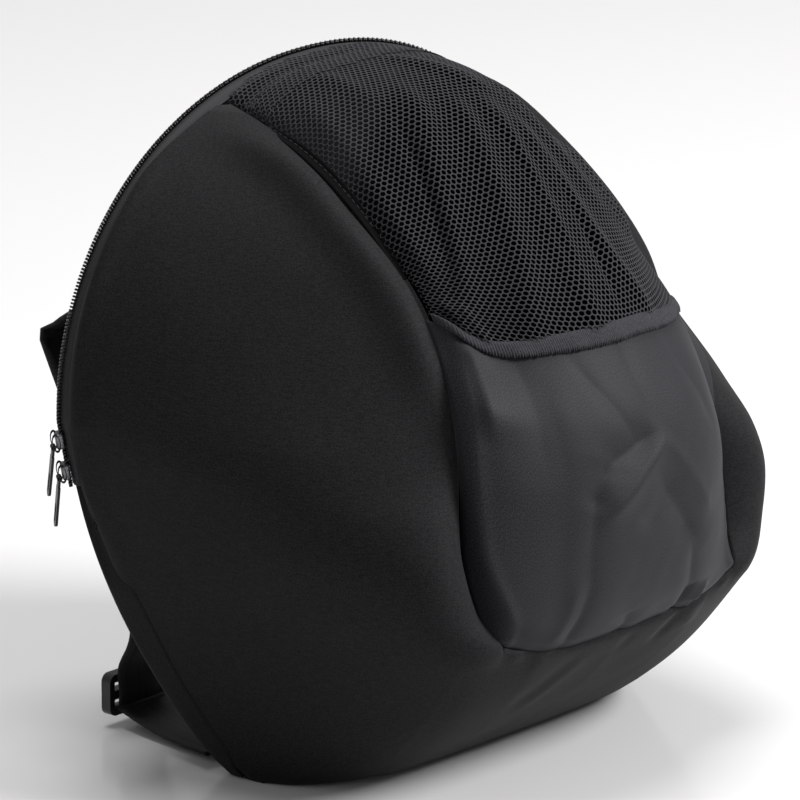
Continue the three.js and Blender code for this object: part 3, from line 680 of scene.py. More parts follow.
# %% Front pocket
POCKET_MM, POCKET_GRID, POCKET_CUT_MM, POCKET_WALL_MM = (100, 38), (130, 100), (235, 185), 1
POCKET_FOLDS = rows(FOLD_COLUMNS, [
    (0.0, 7.4, -0.34, 7.7, 9, -3.2), (-0.36, 7.75, -0.46, 8.3, 8, -2.6), (-0.45, 8.2, -0.47, 9.5, 7, -1.5),
    (0.06, 7.6, -0.36, 8.5, 8, 3.2), (0.04, 8.2, 0.36, 9.3, 9, -3.0), (-0.09, 8.75, 0.3, 9.2, 6, -1.8),
    (0.14, 7.7, 0.46, 8.9, 8, 1.6), (-0.36, 6.1, -0.1, 7.4, 5, -1.0), (0.02, 6.0, 0.06, 7.3, 5, -0.7),
    (-0.69, 6.1, -0.71, 7.7, 6, -0.6), (-0.46, 9.6, -0.56, 10.9, 5, -1.6), (-0.55, 9.6, -0.66, 10.7, 6, 1.3),
    (0.34, 9.5, 0.44, 10.8, 5, -1.5), (0.46, 10.4, 0.42, 11, 4, -2.2), (0.58, 10.5, 0.56, 11, 4, 1.8),
    (-0.1, 10.5, -0.05, 11, 6, -1.0), (0.5, 6.3, 0.62, 7.6, 8, -1.2), (-0.9, 5.9, -0.89, 7.2, 6, 4.5),
])
[pleat_line] = readers(rows("row s", [
    (5, 0.94), (6, 0.945), (7, 0.955), (8, 0.955), (8.6, 0.945), (9.2, 0.925), (10, 0.89), (10.6, 0.93),
    (11, 0.985),
]))
PLEAT = Sizes(ridge=1.5, wide=2.6, depth=5.5, far_share=0.4, far_rows=(6.6, 8))
GUSSET = Sizes(rise=9, s=(0.6, 0.95), rows=((6, 7.2), (10, 10.9)))
BOTTOM_ROLL, BOTTOM_ROW_MM = Sizes(width=4, depth=1.5), 22
CREASE_RISE, CREASE_SHARP, CREASE_EDGE = 1.3, 1.3, (0, 0.1)
RUMPLE, RUMPLE_EDGE = ((26, 0.6), (11, 0.15)), (0, 0.12)
POCKET_SHOWN, UNDER_HEM_ROWS, TUCKED_MM, UNDER_ROLL_MM = 0.95, 0.17, 9, 5
TUCK_WAY = Vector((0, 0.7, -0.7))
FAR_LAP = Sizes(mm=30, rows=(7.0, 8.4), lift=1.6, from_x=78, from_z=160, times=12)


def pocket_relief(s, row):
    line = pleat_line(row)
    inside = line - abs(s)
    deep = PLEAT.far_share * ease(*PLEAT.far_rows, row) if s > 0 else 1
    pleat = PLEAT.ridge * hump(inside * POCKET_MM[0], PLEAT.wide)
    pleat -= PLEAT.depth * deep * ease(0, 1 - line, -inside)
    if s < 0:
        pleat += GUSSET.rise * within(-s, GUSSET.s, (line, 1)) * within(row, *GUSSET.rows)
    bottom = tuck((POCKET_ROW - row) * BOTTOM_ROW_MM, BOTTOM_ROLL)
    creases = CREASE_RISE * fold_height(POCKET_FOLDS, s, row, POCKET_MM, CREASE_SHARP)
    return pleat + bottom + creases * ease(*CREASE_EDGE, 1 - abs(s))


def pocket_cloth(u, v):
    s, down = 2 * u - 1, v / POCKET_SHOWN
    row = blend(hem_row(s) - UNDER_HEM_ROWS, POCKET_ROW, min(down, 1))
    lap = 1 - ease(*FAR_LAP.rows, row) if s > 0 else 0
    s *= 1 + lap * FAR_LAP.mm / POCKET_MM[0]
    if s > 1:
        z = row_z(row)
        return right_side_cloth(1 - (s - 1) * POCKET_MM[0] / side_reach(z), z) + FAR_OUT * FAR_LAP.lift
    point = front_point(s, row) + front_normal(s, row) * pocket_relief(s, row)
    point += uneven(point, RUMPLE) * ease(*RUMPLE_EDGE, 1 - abs(s))
    point.x += math.copysign(UNDER_ROLL_MM, s) * ease(pleat_line(row), 1, abs(s)) * (1 - lap)
    return point + TUCK_WAY * TUCKED_MM * max(0, down - 1) / (1 / POCKET_SHOWN - 1)


pocket = bmesh.new()
lay_patch(pocket, *POCKET_GRID, pocket_cloth, POCKET_CUT_MM)
far_edge = [vert for vert in pocket.verts if not vert.is_boundary
            and vert.co.x > FAR_LAP.from_x * MM and vert.co.z > FAR_LAP.from_z * MM]
relax(pocket, far_edge, FAR_LAP.times)
face_out(pocket)
front_pocket = finish_piece("front_pocket_nylon", pocket, satin_nylon, ["front_pocket"],
                            POCKET_WALL_MM)

# %% [markdown]
# ## Hexagon net
# The net is real holes: one hexagon is copied into staggered rows, every cell is inset to leave its threads,
# and the middles are removed. The flat net is then laid on the front by the length of its threads, so cells
# keep their size, and soft folds run from the top down to the hem. Below the zip the net is turned in and lies
# double, so a band of it is copied and shifted by half a cell.

# %% Hexagon net
CELL_MM, THREAD_MM, NET_WALL_MM, NET_TURN, NET_OVER_TAPE = 3.7, 0.8, 0.5, 40, 5
NET_MM, NET_ROLL, TAPE_ROW_MM = (95, 42), Sizes(width=10, depth=3), 38
OVER_HEM_MM, OVER_ZIP_MM, OVER_ZIP_RUN = 2, 0.8, (0, 8)
FOLDS_S, FOLDS_ROWS, CELL_WELD_MM = (0, 0.12), (0.2, 1.2), 0.1
NET_LAP = Sizes(binding=0.012, most=0.995, hem=0.8)
NET_FOLDS = rows(FOLD_COLUMNS, [
    (-0.8, 1.5, -0.93, 4.6, 7, 2.6), (-0.2, 2.0, -0.6, 3.7, 9, 3.4), (-0.6, 3.7, -0.88, 5.5, 7, 3.0),
    (0.05, 2.5, -0.22, 3.9, 8, 3.2), (-0.22, 3.9, -0.54, 5.6, 8, 3.2), (0.3, 2.6, 0.06, 4.2, 8, 3.4),
    (0.06, 4.2, -0.12, 5.6, 8, 3.4), (0.42, 3.0, 0.36, 4.6, 8, 3.0), (0.36, 4.6, 0.44, 5.7, 7, 2.8),
    (0.66, 2.2, 0.7, 4.2, 9, 2.6), (-0.45, 0.9, -0.5, 2.0, 9, 2.0), (0.2, 1.0, 0.45, 2.2, 9, 2.4),
    (-0.93, 5.1, -0.87, 5.75, 3, 2.4), (-0.86, 5.2, -0.8, 5.85, 3, 2.0), (0.88, 3.3, 0.9, 4.7, 8, 5),
    (-0.5, 2.6, -0.8, 4.6, 4, -2.2), (0.16, 3.2, -0.05, 5.0, 4, -2.2), (0.4, 3.6, 0.2, 5.4, 4, -2.0),
])
[binding_edge] = readers(rows("row s", [
    (-1, 1), (0.8, 0.992), (1.7, 0.975), (2.6, 0.966), (3.4, 0.972), (4.1, 0.992), (4.5, 1), (7, 1),
]))
DOUBLED_MM = Sizes(first=14, last=32, shift=(1.5, 1.1, 0), lift=0.9)


def net_relief(s, row):
    bottom = hem_row(s) - HEM_ROWS
    lifted = OVER_HEM_MM * ease(bottom - 1, bottom, row)
    sides = tuck((1 - abs(s)) * NET_MM[0], NET_ROLL)
    folds = fold_height(NET_FOLDS, s, row, NET_MM) * ease(*FOLDS_S, 1 - abs(s)) * ease(*FOLDS_ROWS, row)
    return lifted + sides + folds


def net_place(s, row, lift=0):
    over_tape = Vector((0, TAPE_ROW_MM, 0)) * max(-row, 0)
    return front_point(s, row) + front_normal(s, row) * (net_relief(s, row) + lift) + over_tape


def running_lengths(points):
    """Length of a line of points up to each of them."""
    run = [0.0]
    for here, there in zip(points, points[1:]):
        run.append(run[-1] + (there - here).length)
    return run


ROW_STEP, ROW_COUNT, ACROSS_COUNT = 0.05, 134, 80
middle_run = running_lengths([front_point(0, i * ROW_STEP) for i in range(ROW_COUNT)])
across_run = [running_lengths([front_point(j / ACROSS_COUNT, i * ROW_STEP) for j in range(ACROSS_COUNT + 1)])
              for i in range(ROW_COUNT)]


def read_back(run, length):
    """Position, in steps, at which a running length is reached; beyond the end it carries straight on."""
    low, high = 0, len(run) - 1
    if length >= run[-1]:
        return high + (length - run[-1]) / (run[-1] - run[-2])
    while high - low > 1:
        middle = (low + high) // 2
        low, high = (middle, high) if run[middle] <= length else (low, middle)
    return low + (length - run[low]) / (run[high] - run[low])


def net_coordinates(x, y):
    row = read_back(middle_run, y) * ROW_STEP
    run = across_run[min(int(row / ROW_STEP), ROW_COUNT - 1)]
    return math.copysign(read_back(run, abs(x)) / ACROSS_COUNT, x), row


def copy_moved(mesh, faces, shift):
    """Copies faces of a mesh, moves the copy and gives its points."""
    made = bmesh.ops.duplicate(mesh, geom=faces)["geom"]
    points = [part for part in made if isinstance(part, bmesh.types.BMVert)]
    bmesh.ops.translate(mesh, verts=points, vec=shift)
    return points


def copy_along(mesh, count, shift_of):
    """Copies what the mesh holds count - 1 times, each moved by shift_of(i)."""
    first = mesh.faces[:]
    for i in range(1, count):
        copy_moved(mesh, first, shift_of(i))


WIDE_ROW = 40
NET_SIDE = middle_run[-1] + 2 * across_run[WIDE_ROW][-1]
count = int(NET_SIDE / CELL_MM)
net = bmesh.new()
bmesh.ops.create_circle(net, cap_ends=True, segments=6, radius=CELL_MM / math.sqrt(3))
copy_along(net, count, lambda i: (i * CELL_MM, 0, 0))
copy_along(net, count, lambda i: ((i % 2) * CELL_MM / 2, i * CELL_MM * math.sqrt(0.75), 0))
bmesh.ops.translate(net, verts=net.verts, vec=(-NET_SIDE / 2, -NET_SIDE / 2, 0))
bmesh.ops.rotate(net, verts=net.verts, matrix=Matrix.Rotation(math.radians(90 + NET_TURN), 3, "Z"))
bmesh.ops.translate(net, verts=net.verts, vec=(0, middle_run[-1] / 2, 0))
outside = []
for face in net.faces:
    x, y = face.calc_center_median().xy
    s, row = net_coordinates(x, max(y, 0))
    under_binding = abs(s) > min(binding_edge(row) + NET_LAP.binding, NET_LAP.most)
    if y < -NET_OVER_TAPE or under_binding or row > hem_row(s) - HEM_ROWS * NET_LAP.hem:
        outside.append(face)
bmesh.ops.delete(net, geom=outside, context="FACES")
bmesh.ops.remove_doubles(net, verts=net.verts, dist=CELL_WELD_MM)
cells = net.faces[:]
print("net cells", len(cells))
bmesh.ops.inset_individual(net, faces=cells, thickness=THREAD_MM / 2, use_even_offset=True)
bmesh.ops.delete(net, geom=cells, context="FACES_ONLY")
bmesh.ops.delete(net, geom=[vert for vert in net.verts if not vert.link_faces], context="VERTS")
turned_in = [face for face in net.faces if DOUBLED_MM.first < face.calc_center_median().y < DOUBLED_MM.last]
second = set(copy_moved(net, turned_in, DOUBLED_MM.shift))
for vert in net.verts:
    s, row = net_coordinates(vert.co.x, max(vert.co.y, 0))
    over_zip = Vector((0, 0, OVER_ZIP_MM)) * (1 - ease(*OVER_ZIP_RUN, vert.co.y))
    lift = DOUBLED_MM.lift if vert in second else 0
    vert.co = (net_place(clamp(s, -1, 1), row + min(vert.co.y, 0) / TAPE_ROW_MM, lift) + over_zip) * MM
face_out(net)
print("thread area", round(sum(face.calc_area() for face in net.faces), 4), "m2")
front_net = finish_piece("front_net", net, net_thread, ["front_mesh_panel"], NET_WALL_MM, offset=0)

# %% [markdown]
# ## Seam binding beside the net
# Between the rolled side edge and the net a smooth strip of seam binding shows, widest half way down. Its
# near-black colour is painted shade for the shadow in the recess between roll and net. A second narrow tape lies
# behind the net just below the zip. The binding covers the cut edge of the net.

# %% Seam bindings
BINDING = Sizes(first_row=-0.16, last_row=4.4, shown=((0.05, 0.25), (0.7, 0.92)), sunk=-2.2, lift=0.6,
                edge=0.5, under_roll=4)
TOP_TAPE = Sizes(s=0.96, rows=(0.2, 0.42), behind=0.9)


def side_binding(sign):
    def carry(u, v):
        row = blend(BINDING.first_row, BINDING.last_row, v)
        s = sign * blend(1.0, binding_edge(row), u)
        under_roll = Vector((sign * BINDING.under_roll * (1 - ease(0, 0.5, u)), 0, 0))
        lift = blend(BINDING.sunk, BINDING.lift, within(v, *BINDING.shown))
        lift -= BINDING.edge * ease(0.8, 1, u)
        return net_place(s, row) + front_normal(s, row) * lift + under_roll
    return carry


for name, sign in SIDES:
    mesh = strip(side_binding(sign), columns=6, steps=90, cloth_mm=(12, 200))
    # The binding's near-black colour is painted shade of the recess beside the rolled edge.
    finish_piece(f"net_binding_{name}", mesh, binding_cloth_painted_shade, (), wall_mm=0.8)


def top_tape(u, v):
    s, row = blend(-TOP_TAPE.s, TOP_TAPE.s, u), blend(*TOP_TAPE.rows, v)
    return front_point(s, row) - front_normal(s, row) * TOP_TAPE.behind


mesh = strip(top_tape, columns=80, steps=3, cloth_mm=(190, 8))
finish_piece("net_top_tape", mesh, hem_elastic, (), wall_mm=0.6)

# %% [markdown]
# ## Stitching along the net seam
# The binding is sewn to the side panel with one row of stitches, seen as short dashes just outside the rolled
# edge. One small bevelled block is a stitch, copied along the binding at an ordinary stitch length.

# %% Seam stitches
STITCH = Sizes(pitch=4.2, size=(0.5, 2.6, 0.4), bevel=0.12, lift=0.15, across=0.4,
               start=0.26, stop=0.8)
V_STEP = 0.002

stitch_places = []
for sign in (-1, 1):
    binding_at = side_binding(sign)
    v, run = STITCH.start, STITCH.pitch
    while v < STITCH.stop:
        here = binding_at(STITCH.across, v)
        step = binding_at(STITCH.across, v + V_STEP) - here
        run += step.length
        if run >= STITCH.pitch:
            along = step.normalized()
            normal = front_normal(sign, blend(0, BINDING.last_row, v))
            normal = (normal - along * normal.dot(along)).normalized()
            stitch_places.append(standing(here + normal * STITCH.lift, along, normal))
            run = 0
        v += V_STEP
stitches = place_copies(bevelled_block(STITCH.size, STITCH.bevel), stitch_places)
finish_piece("net_seam_stitches", stitches, hem_elastic, ())

# %% [markdown]
# ## Ribbed hem
# The hem is a band of ribbed elastic about 10 mm high over the nylon. Its ribs stand across the band, its
# lower edge is slightly scalloped, and it waves gently because the elastic is relaxed.

# %% Ribbed hem
RIB_MM, RIB_RISE, HEM_SPAN_MM, HEM_MM, HEM_WALL_MM = 1.5, 0.17, 215, 10, 1.2
HEM_ROLL, HEM_LIFT, HEM_CROWN = Sizes(width=9, depth=4.5), 2.1, 1.1
OVER_ROLL = Sizes(rise=2.2, s=-0.92, wide=0.07)
HEM_WAVES, HEM_LAP = ((0.45, 41, 0), (0.3, 73, 1.3)), 1.04
SCALLOP, FRAY = Sizes(rows=0.012, v=(0.8, 1)), Sizes(rows=0.02, per_span=160, v=(0.7, 1))


def hem_cloth(u, v):
    s = 2 * u - 1
    row = hem_row(s) - HEM_ROWS * (1 - v) * HEM_LAP
    rib = math.cos(2 * math.pi * u * HEM_SPAN_MM / RIB_MM)
    wave = sum(rise * math.sin(u * turn + start) for rise, turn, start in HEM_WAVES)
    edge = SCALLOP.rows * rib * ease(*SCALLOP.v, v)
    crown = HEM_CROWN * (1 - (2 * v - 1) ** 4)
    tucked = tuck((1 - abs(s)) * NET_MM[0], HEM_ROLL)
    fray = FRAY.rows * noise.noise(Vector((u * FRAY.per_span, 0, 0))) * ease(*FRAY.v, v)
    over_roll = OVER_ROLL.rise * hump(s - OVER_ROLL.s, OVER_ROLL.wide)
    lift = HEM_LIFT + crown + RIB_RISE * rib + wave * v + tucked + over_roll
    return front_point(s, row + edge + fray) + front_normal(s, row) * lift


hem = strip(hem_cloth, columns=620, steps=9, cloth_mm=(HEM_SPAN_MM, HEM_MM))
mesh_hem = finish_piece("net_hem", hem, hem_elastic, ["mesh_hem"], HEM_WALL_MM)

# %% [markdown]
# ## Zip
# A coil zip runs over the arch: a smooth cloth tape on the front side, a second tape on the back, and two
# rows of interlocked coil loops between them. One bevelled tooth is copied along the path, shifted a little to
# either side in turn, every 2 mm as on a large coil, which is also the spacing seen in the photo.

# %% Zip path and tapes
TOOTH_PITCH_MM, CHAIN_Y = 2.0, ZIP_Y + 2.6
STRAIGHT_V, TAPE_LONG_MM, TAPE_WALL_MM = 0.04, 790, 1.1
FRONT_TAPE = Sizes(back=4.0, wide=12.6, crown=0.5, crown_from=0.2, crown_steep=1.8, under_cloth=1.4,
                   cloth_u=(0.5, 0.8), under_coil=1.6, coil_u=(0, 0.25), ends=0.6, end_v=(0, 0.03))
BACK_TAPE = Sizes(back=1.6, bow=0.6, start=2, wide=9)


def zip_point(v, y):
    if v < STRAIGHT_V:
        z = blend(ZIP_END_Z, ARCH.centre, v / STRAIGHT_V)
        return Vector((-back_half(z), y, z))
    if v > 1 - STRAIGHT_V:
        return flip_x(zip_point(1 - v, y))
    return arch_point(math.pi * (1 - (v - STRAIGHT_V) / (1 - 2 * STRAIGHT_V)), y, 0)


def zip_inward(v):
    along = (zip_point(min(v + V_STEP, 1), 0) - zip_point(max(v - V_STEP, 0), 0)).normalized()
    return Vector((along.z, 0, -along.x))


def front_tape(u, v):
    cut = FRONT_TAPE
    crown = cut.crown * math.sin(math.pi * min(max(u - cut.crown_from, 0) * cut.crown_steep, 1))
    crown -= cut.under_cloth * ease(*cut.cloth_u, u) + cut.under_coil * (1 - ease(*cut.coil_u, u))
    crown -= cut.ends * (1 - ease(*cut.end_v, min(v, 1 - v)))
    return zip_point(v, ZIP_Y + cut.back - cut.wide * u) - zip_inward(v) * crown


def back_tape(u, v):
    y = ZIP_Y + BACK_TAPE.back - BACK_TAPE.bow * (2 * u - 1) ** 2
    return zip_point(v, y) + zip_inward(v) * (BACK_TAPE.start + BACK_TAPE.wide * u)


for name, carry, width in (("front", front_tape, 12), ("back", back_tape, 10)):
    mesh = strip(carry, columns=8, steps=240, cloth_mm=(width, TAPE_LONG_MM))
    tape = finish_piece(f"zip_{name}_tape", mesh, zip_tape, [f"zip_tape_{name}"], TAPE_WALL_MM)

# %% Coil teeth
PATH_STEPS = 800
TOOTH = Sizes(size=(4.6, 1.2, 2.2), bevel=0.35, side=0.3, lift=0.5)
tooth_run = running_lengths([zip_point(i / PATH_STEPS, 0) for i in range(PATH_STEPS + 1)])
tooth_count = int(tooth_run[-1] / TOOTH_PITCH_MM)
tooth_places = []
for i in range(tooth_count):
    v = read_back(tooth_run, i * TOOTH_PITCH_MM) / PATH_STEPS
    inward = zip_inward(v)
    along = Vector((-inward.z, 0, inward.x))
    normal = (Vector((0, 1, 0)) - inward).normalized()
    side = along.cross(normal) * (TOOTH.side if i % 2 else -TOOTH.side)
    tooth_places.append(standing(zip_point(v, CHAIN_Y) + side + normal * TOOTH.lift, along, normal))
teeth = place_copies(bevelled_block(TOOTH.size, TOOTH.bevel), tooth_places)
finish_piece("zip_coil_teeth", teeth, coil_nylon, ["zip_chain"])
print("teeth", tooth_count, "over", round(tooth_run[-1]), "mm")

# %% [markdown]
# ## Back panel and heel strip
# The back is a padded cloth panel inside the zip arch, and a narrow strip of the same cloth joins it to the
# shell below the zip ends. Neither shows in the photo, so they are plain: a soft crown and a rolled edge.

# %% Back panel and heel strip
BACK = Sizes(inset=3.2, split=0.46, top_angle=math.radians(86), crown=3.2, crown_rim=(4, 40),
             rolled=2.2, roll_rim=(0, 6), lie=1.2, lie_rim=(0, 30), wall=6)
BACK_MM, BACK_WAVE_MM, BACK_LOW_MM, BACK_HIGH_MM = (390, 380), 60, 180, 190
HEEL_SIDE_V, HEEL_WIDE_MM, HEEL_MM, HEEL_WALL_MM = 0.36, 15, (16, 720), 2.2
HEEL_RISE = Sizes(over=1.3, over_u=((0, 0.1), (0.88, 1)), base=-0.5, foot_z=(0, 20), dive=2.8, dive_z=(102, 120),
                  dive_u=(0.7, 1))
HEEL_WIDE_Z = (0, 22), (90, ZIP_END_Z)


def back_cloth_point(u, v):
    if v < BACK.split:
        z = blend(BACK.inset, ARCH.centre, v / BACK.split)
        half = back_half(z) - BACK.inset
    else:
        edge = arch_point(BACK.top_angle * (v - BACK.split) / (1 - BACK.split), 0, BACK.inset)
        z, half = edge.z, edge.x
    x = (2 * u - 1) * half
    rim = min(half * (1 - abs(2 * u - 1)), BACK_LOW_MM * v, BACK_HIGH_MM * (1 - v))
    crown = BACK.crown * ease(*BACK.crown_rim, rim) - BACK.rolled * (1 - ease(*BACK.roll_rim, rim))
    lie = noise.noise(Vector((x, 0, z)) / BACK_WAVE_MM) * BACK.lie * ease(*BACK.lie_rim, rim)
    return Vector((x, back_y(x, z) + crown + lie, z))


mesh = strip(back_cloth_point, columns=90, steps=100, cloth_mm=BACK_MM)
back_panel = finish_piece("back_panel_pad", mesh, back_cloth, ["back_panel"], BACK.wall)


def heel_point(v):
    if v < HEEL_SIDE_V:
        z = ZIP_END_Z * (1 - v / HEEL_SIDE_V)
        return Vector((back_half(z), edge_y(z), z))
    if v > 1 - HEEL_SIDE_V:
        return flip_x(heel_point(1 - v))
    x = back_half(0) * (1 - 2 * (v - HEEL_SIDE_V) / (1 - 2 * HEEL_SIDE_V))
    return Vector((x, back_y(x, 0), 0))


def heel_strip(u, v):
    """Back edge at u = 1; the front edge lies over the side cloth low down and dives under it below the zip."""
    edge = heel_point(v)
    widen = HEEL_WIDE_MM * within(edge.z, *HEEL_WIDE_Z)
    off = (1 - u) * (EDGE_STRIP - FRONT_GAP + widen)
    sign = math.copysign(1, edge.x)
    point = edge - Vector((0, min(off, EDGE_STRIP), 0))
    if off > EDGE_STRIP:
        start, leave = side_section(edge.z)[:2]
        point = side_point((off - EDGE_STRIP) / (3 * (leave - start).length), edge.z)
        point.x *= sign
    rise = HEEL_RISE.over * within(u, *HEEL_RISE.over_u) + HEEL_RISE.base
    rise -= HEEL_RISE.dive * ease(*HEEL_RISE.dive_z, edge.z) * (1 - ease(*HEEL_RISE.dive_u, u))
    point = blend(point, swell(point), ease(0, EDGE_STRIP, off))
    return point + Vector((sign, 0, 0)) * ease(*HEEL_RISE.foot_z, edge.z) * rise


mesh = strip(heel_strip, columns=12, steps=220, cloth_mm=HEEL_MM)
heel = finish_piece("heel_strip", mesh, back_cloth, ["back_gusset"], HEEL_WALL_MM)

# %% [markdown]
# ## Shoulder straps, webbing and buckles
# Each shoulder strap is a padded ribbon with bound edges that narrows to the buckle. A tube of cloth with a
# flat section follows the strap's middle line: its thickness dips at the stitching beside the binding. The
# lower webbing is a thin ribbon from the buckle to the bottom corner.

# %% Ribbons
STRAP_SECTIONS = rows("at x y z width thick", [
    (0, 60, 112.5, 337, 50, 4), (1, 60, 132, 337, 50, 4), (2, 66, 150, 318, 52, 4), (3, 78, 149, 270, 53, 4),
    (3.95, 103, 198, 225, 55, 2.6), (4, 104, 201, 222, 55, 2.4), (4.05, 104.2, 199.5, 218.5, 55, 2.6),
    (5, 109, 170, 170, 52, 4), (6, 113, 141, 112, 46, 4), (7, 116, 125, 64, 41, 3.4), (8, 115, 137, 36, 39, 2.2),
    (9, 115, 136.9, 22, 38, 2), (10, 115, 137.6, 12.5, 38, 2),
])
STRAP_END, STRAP_MM, WEB_MM, V_REACH, TUBE_WELD_MM = 10, 455, 75, 0.003, 0.01
BOUND_EDGE = Sizes(stitch_in=5.5, stitch_wide=1.2, stitch_dip=0.35, round=1.2)
WEB = Sizes(thick=1.8, width=38, lock_x=115, seam_x=124, lock_y=139.2, lock_z=11, seam_z=4, sag=3,
            clear=1.5)
strap_x, strap_y, strap_z, strap_width, strap_thick = readers(STRAP_SECTIONS)


def ribbon_section(turn_part, half_width, thick):
    """Point of a flat section with bound edges: across the ribbon, and above or below its middle."""
    angle = 2 * math.pi * turn_part
    across = math.copysign(abs(math.cos(angle)) ** 0.5, math.cos(angle)) * half_width
    from_edge = half_width - abs(across)
    dip = BOUND_EDGE.stitch_dip * hump(from_edge - BOUND_EDGE.stitch_in, BOUND_EDGE.stitch_wide)
    round_edge = math.sqrt(clamp(from_edge / BOUND_EDGE.round, 0, 1))
    height = math.copysign(thick / 2 * (1 - dip) * round_edge, math.sin(angle))
    return across, height if abs(math.sin(angle)) > 1e-6 else 0


def ribbon(path, width, thick, steps, around, length_mm):
    """A flat tube along a path, welded shut round its section and at both ends."""
    def carry(u, v):
        along = (path(min(v + V_REACH, 1)) - path(max(v - V_REACH, 0))).normalized()
        across = (Vector((1, 0, 0)) - along * along.x).normalized()
        aside, height = ribbon_section(u, width(v) / 2, thick(v))
        return path(v) + across * aside + along.cross(across) * height
    mesh = bmesh.new()
    lay_patch(mesh, around, steps, carry, (2 * width(0.5), length_mm))
    bmesh.ops.remove_doubles(mesh, verts=mesh.verts, dist=TUBE_WELD_MM * MM)
    bmesh.ops.holes_fill(mesh, edges=[edge for edge in mesh.edges if edge.is_boundary], sides=0)
    bmesh.ops.recalc_face_normals(mesh, faces=mesh.faces)
    return mesh


def strap_path(sign):
    def path(v):
        at = STRAP_END * v
        return Vector((sign * strap_x(at), strap_y(at), strap_z(at)))
    return path


def webbing_path(sign):
    def path(v):
        x = blend(WEB.lock_x, WEB.seam_x, v)
        y = blend(WEB.lock_y, back_y(x, WEB.seam_z + WEB.thick) + WEB.clear, v)
        return Vector((sign * x, y, blend(WEB.lock_z, WEB.seam_z, v) - WEB.sag * math.sin(math.pi * v)))
    return path


for name, sign in SIDES:
    strap = ribbon(strap_path(sign), lambda v: strap_width(STRAP_END * v), lambda v: strap_thick(STRAP_END * v),
                   steps=200, around=64, length_mm=STRAP_MM)
    nodes = [f"shoulder_strap_{name}"]
    piece = finish_piece(f"shoulder_strap_{name}_cloth", strap, strap_webbing, nodes)
    web = ribbon(webbing_path(sign), lambda v: WEB.width, lambda v: WEB.thick, steps=30, around=40,
                 length_mm=WEB_MM)
    piece = finish_piece(f"lower_webbing_{name}_cloth", web, strap_webbing, [f"lower_webbing_{name}"])

# %% [markdown]
# ## Sliders
# A slider is a small cast body that straddles the chain, with two open loops that carry a pin for the pull. The
# body is a bevelled block, each loop a wire ring spun round and drawn out into an oval, and the pin lies on the
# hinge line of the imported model.

# %% Sliders
SLIDER_Z = {"upper": 193, "lower": 174}
OUT_TURN = math.radians(35.7)
SLIDER_ALONG = Vector((-SIDE_TAPER, 0, 1)).normalized()
SLIDER_OUT = Vector((-SLIDER_ALONG.z, 0, SLIDER_ALONG.x)) * math.cos(OUT_TURN) + Vector((0, math.sin(OUT_TURN), 0))
WIRE_MM = 0.75
LOOP = Sizes(along=5.2, out=1.7, centre=4.4, apart=3.15)
CASTING = Sizes(size=(8, 10, 4.6), nose=(0.7, 1, 1), lift=(0, 0, 2), bevel=1.3)
PIN = Sizes(radius=0.7, out=6.2, along=-3.2, long=7.3)


def cast_slider(z):
    """Body, two loops and pin, in the slider's own axes: across, along the chain, and outward."""
    mesh = bmesh.new()
    body = bmesh.ops.create_cube(mesh, size=1)["verts"]
    bmesh.ops.scale(mesh, verts=body, vec=CASTING.size)
    bmesh.ops.scale(mesh, verts=[vert for vert in body if vert.co.y < 0], vec=CASTING.nose)
    bmesh.ops.translate(mesh, verts=body, vec=CASTING.lift)
    bevel_edges(mesh, CASTING.bevel, 3)
    cast = set(mesh.faces)
    for side in (1, -1):
        before = set(mesh.verts)
        wire = bmesh.ops.create_circle(mesh, segments=8, radius=WIRE_MM,
                                       matrix=Matrix.Translation((0, LOOP.along, 0)))["verts"]
        rim = list({edge for vert in wire for edge in vert.link_edges})
        bmesh.ops.spin(mesh, geom=rim, cent=(0, 0, 0), axis=(1, 0, 0), angle=2 * math.pi, steps=24, use_merge=True)
        ring = [vert for vert in mesh.verts if vert not in before]
        for vert in ring:
            vert.co.z *= (LOOP.out + WIRE_MM) / (LOOP.along + WIRE_MM)
        bmesh.ops.translate(mesh, verts=ring, vec=(side * LOOP.apart, 0, LOOP.centre))
    pin_place = Matrix.Translation((0, PIN.along, PIN.out)) @ Matrix.Rotation(math.pi / 2, 4, "Y")
    bmesh.ops.create_cone(mesh, cap_ends=True, segments=12, radius1=PIN.radius, radius2=PIN.radius,
                          depth=PIN.long, matrix=pin_place)
    for face in mesh.faces:
        face.material_index = 0 if face in cast else 1
    place = standing(Vector((-back_half(z), CHAIN_Y, z)), SLIDER_ALONG, SLIDER_OUT)
    bmesh.ops.transform(mesh, matrix=Matrix.Scale(MM, 4) @ place, verts=mesh.verts)
    bmesh.ops.recalc_face_normals(mesh, faces=mesh.faces)
    return mesh


for name, z in SLIDER_Z.items():
    nodes = [f"zip_slider_{name}"]
    # The body takes the grey metal with the painted highlight; the loops and the pin take the black paint.
    piece = finish_piece(f"zip_slider_{name}_casting", cast_slider(z), slider_body_painted_highlight, nodes)
    piece.data.materials.append(painted_zinc)

# %% [markdown]
# ## Pulls and buckles
# The pulls and the ladder-lock buckles have their true shape in the CAD model, so those nodes stay. A Weld joins
# the loose triangles, and a small Bevel gives the moulded and cast edges their highlight.

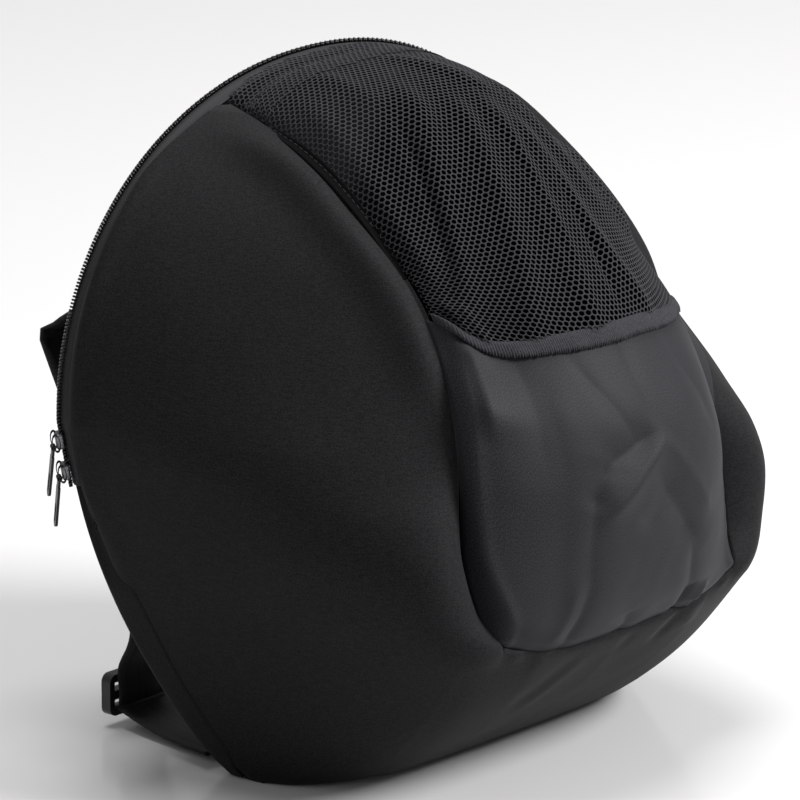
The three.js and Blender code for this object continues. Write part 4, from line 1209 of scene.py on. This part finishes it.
# %% Pulls and buckles
BEVEL_MM = {"ladder_lock": 0.8, "zip_pull": 0.3}
NODE_WELD_MM = 0.01
for name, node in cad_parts.items():
    kind = next((kind for kind in BEVEL_MM if name.startswith(kind)), None)
    if not kind:
        continue
    node.data.materials.clear()
    node.data.materials.append(moulded_acetal if kind == "ladder_lock" else painted_zinc)
    weld = node.modifiers.new("weld", "WELD")
    weld.merge_threshold = NODE_WELD_MM * MM
    edge = node.modifiers.new("edge", "BEVEL")
    edge.width = BEVEL_MM[kind] * MM
    edge.segments = 2
    edge.limit_method = "ANGLE"
    print(name, "bevel", BEVEL_MM[kind], "mm")

# %% [markdown]
# ## Studio
# The photo has a pale glossy floor under soft light. A white world lifts the shadows, a large key in front and a
# little to the right lights the pocket and leaves the left side dark, and a second one hangs over the bag for
# the top of the net and the floor.

# %% Studio
FLOOR_HALF_M, FLOOR_DROP_MM, WORLD_LIGHT = 6, 0.4, 0.34
LIGHT_AIM = Vector((0, 0, 0.17))
bpy.context.scene.view_settings.view_transform = "Standard"
floor_mesh = bmesh.new()
bmesh.ops.create_grid(floor_mesh, x_segments=1, y_segments=1, size=FLOOR_HALF_M)
bmesh.ops.translate(floor_mesh, verts=floor_mesh.verts, vec=(0, 0, -FLOOR_DROP_MM * MM))
floor_data = bpy.data.meshes.new("floor")
floor_mesh.to_mesh(floor_data)
floor_mesh.free()
floor_data.materials.append(new_material("white_gloss_floor", {
    "Base Color": linear("#dcdbdb"), "Roughness": 0.16, "Specular IOR Level": 0.5})[0])
new_object("floor", floor_data)

world = bpy.data.worlds.new("studio")
world.use_nodes = True
sky = world.node_tree.nodes["Background"].inputs
sky["Color"].default_value = (1, 1, 1, 1)
sky["Strength"].default_value = WORLD_LIGHT
bpy.context.scene.world = world


def soft_light(name, place, size, watts):
    data = bpy.data.lights.new(name, "AREA")
    data.shape = "DISK"
    data.size = size
    data.energy = watts
    aim(new_object(name, data), Vector(place), LIGHT_AIM)
    print("light", name, watts, "W")


soft_light("key_front", (1.9, -2.7, 2.7), 1.6, 235)
soft_light("top", (0.3, 0.6, 4.4), 2.4, 150)
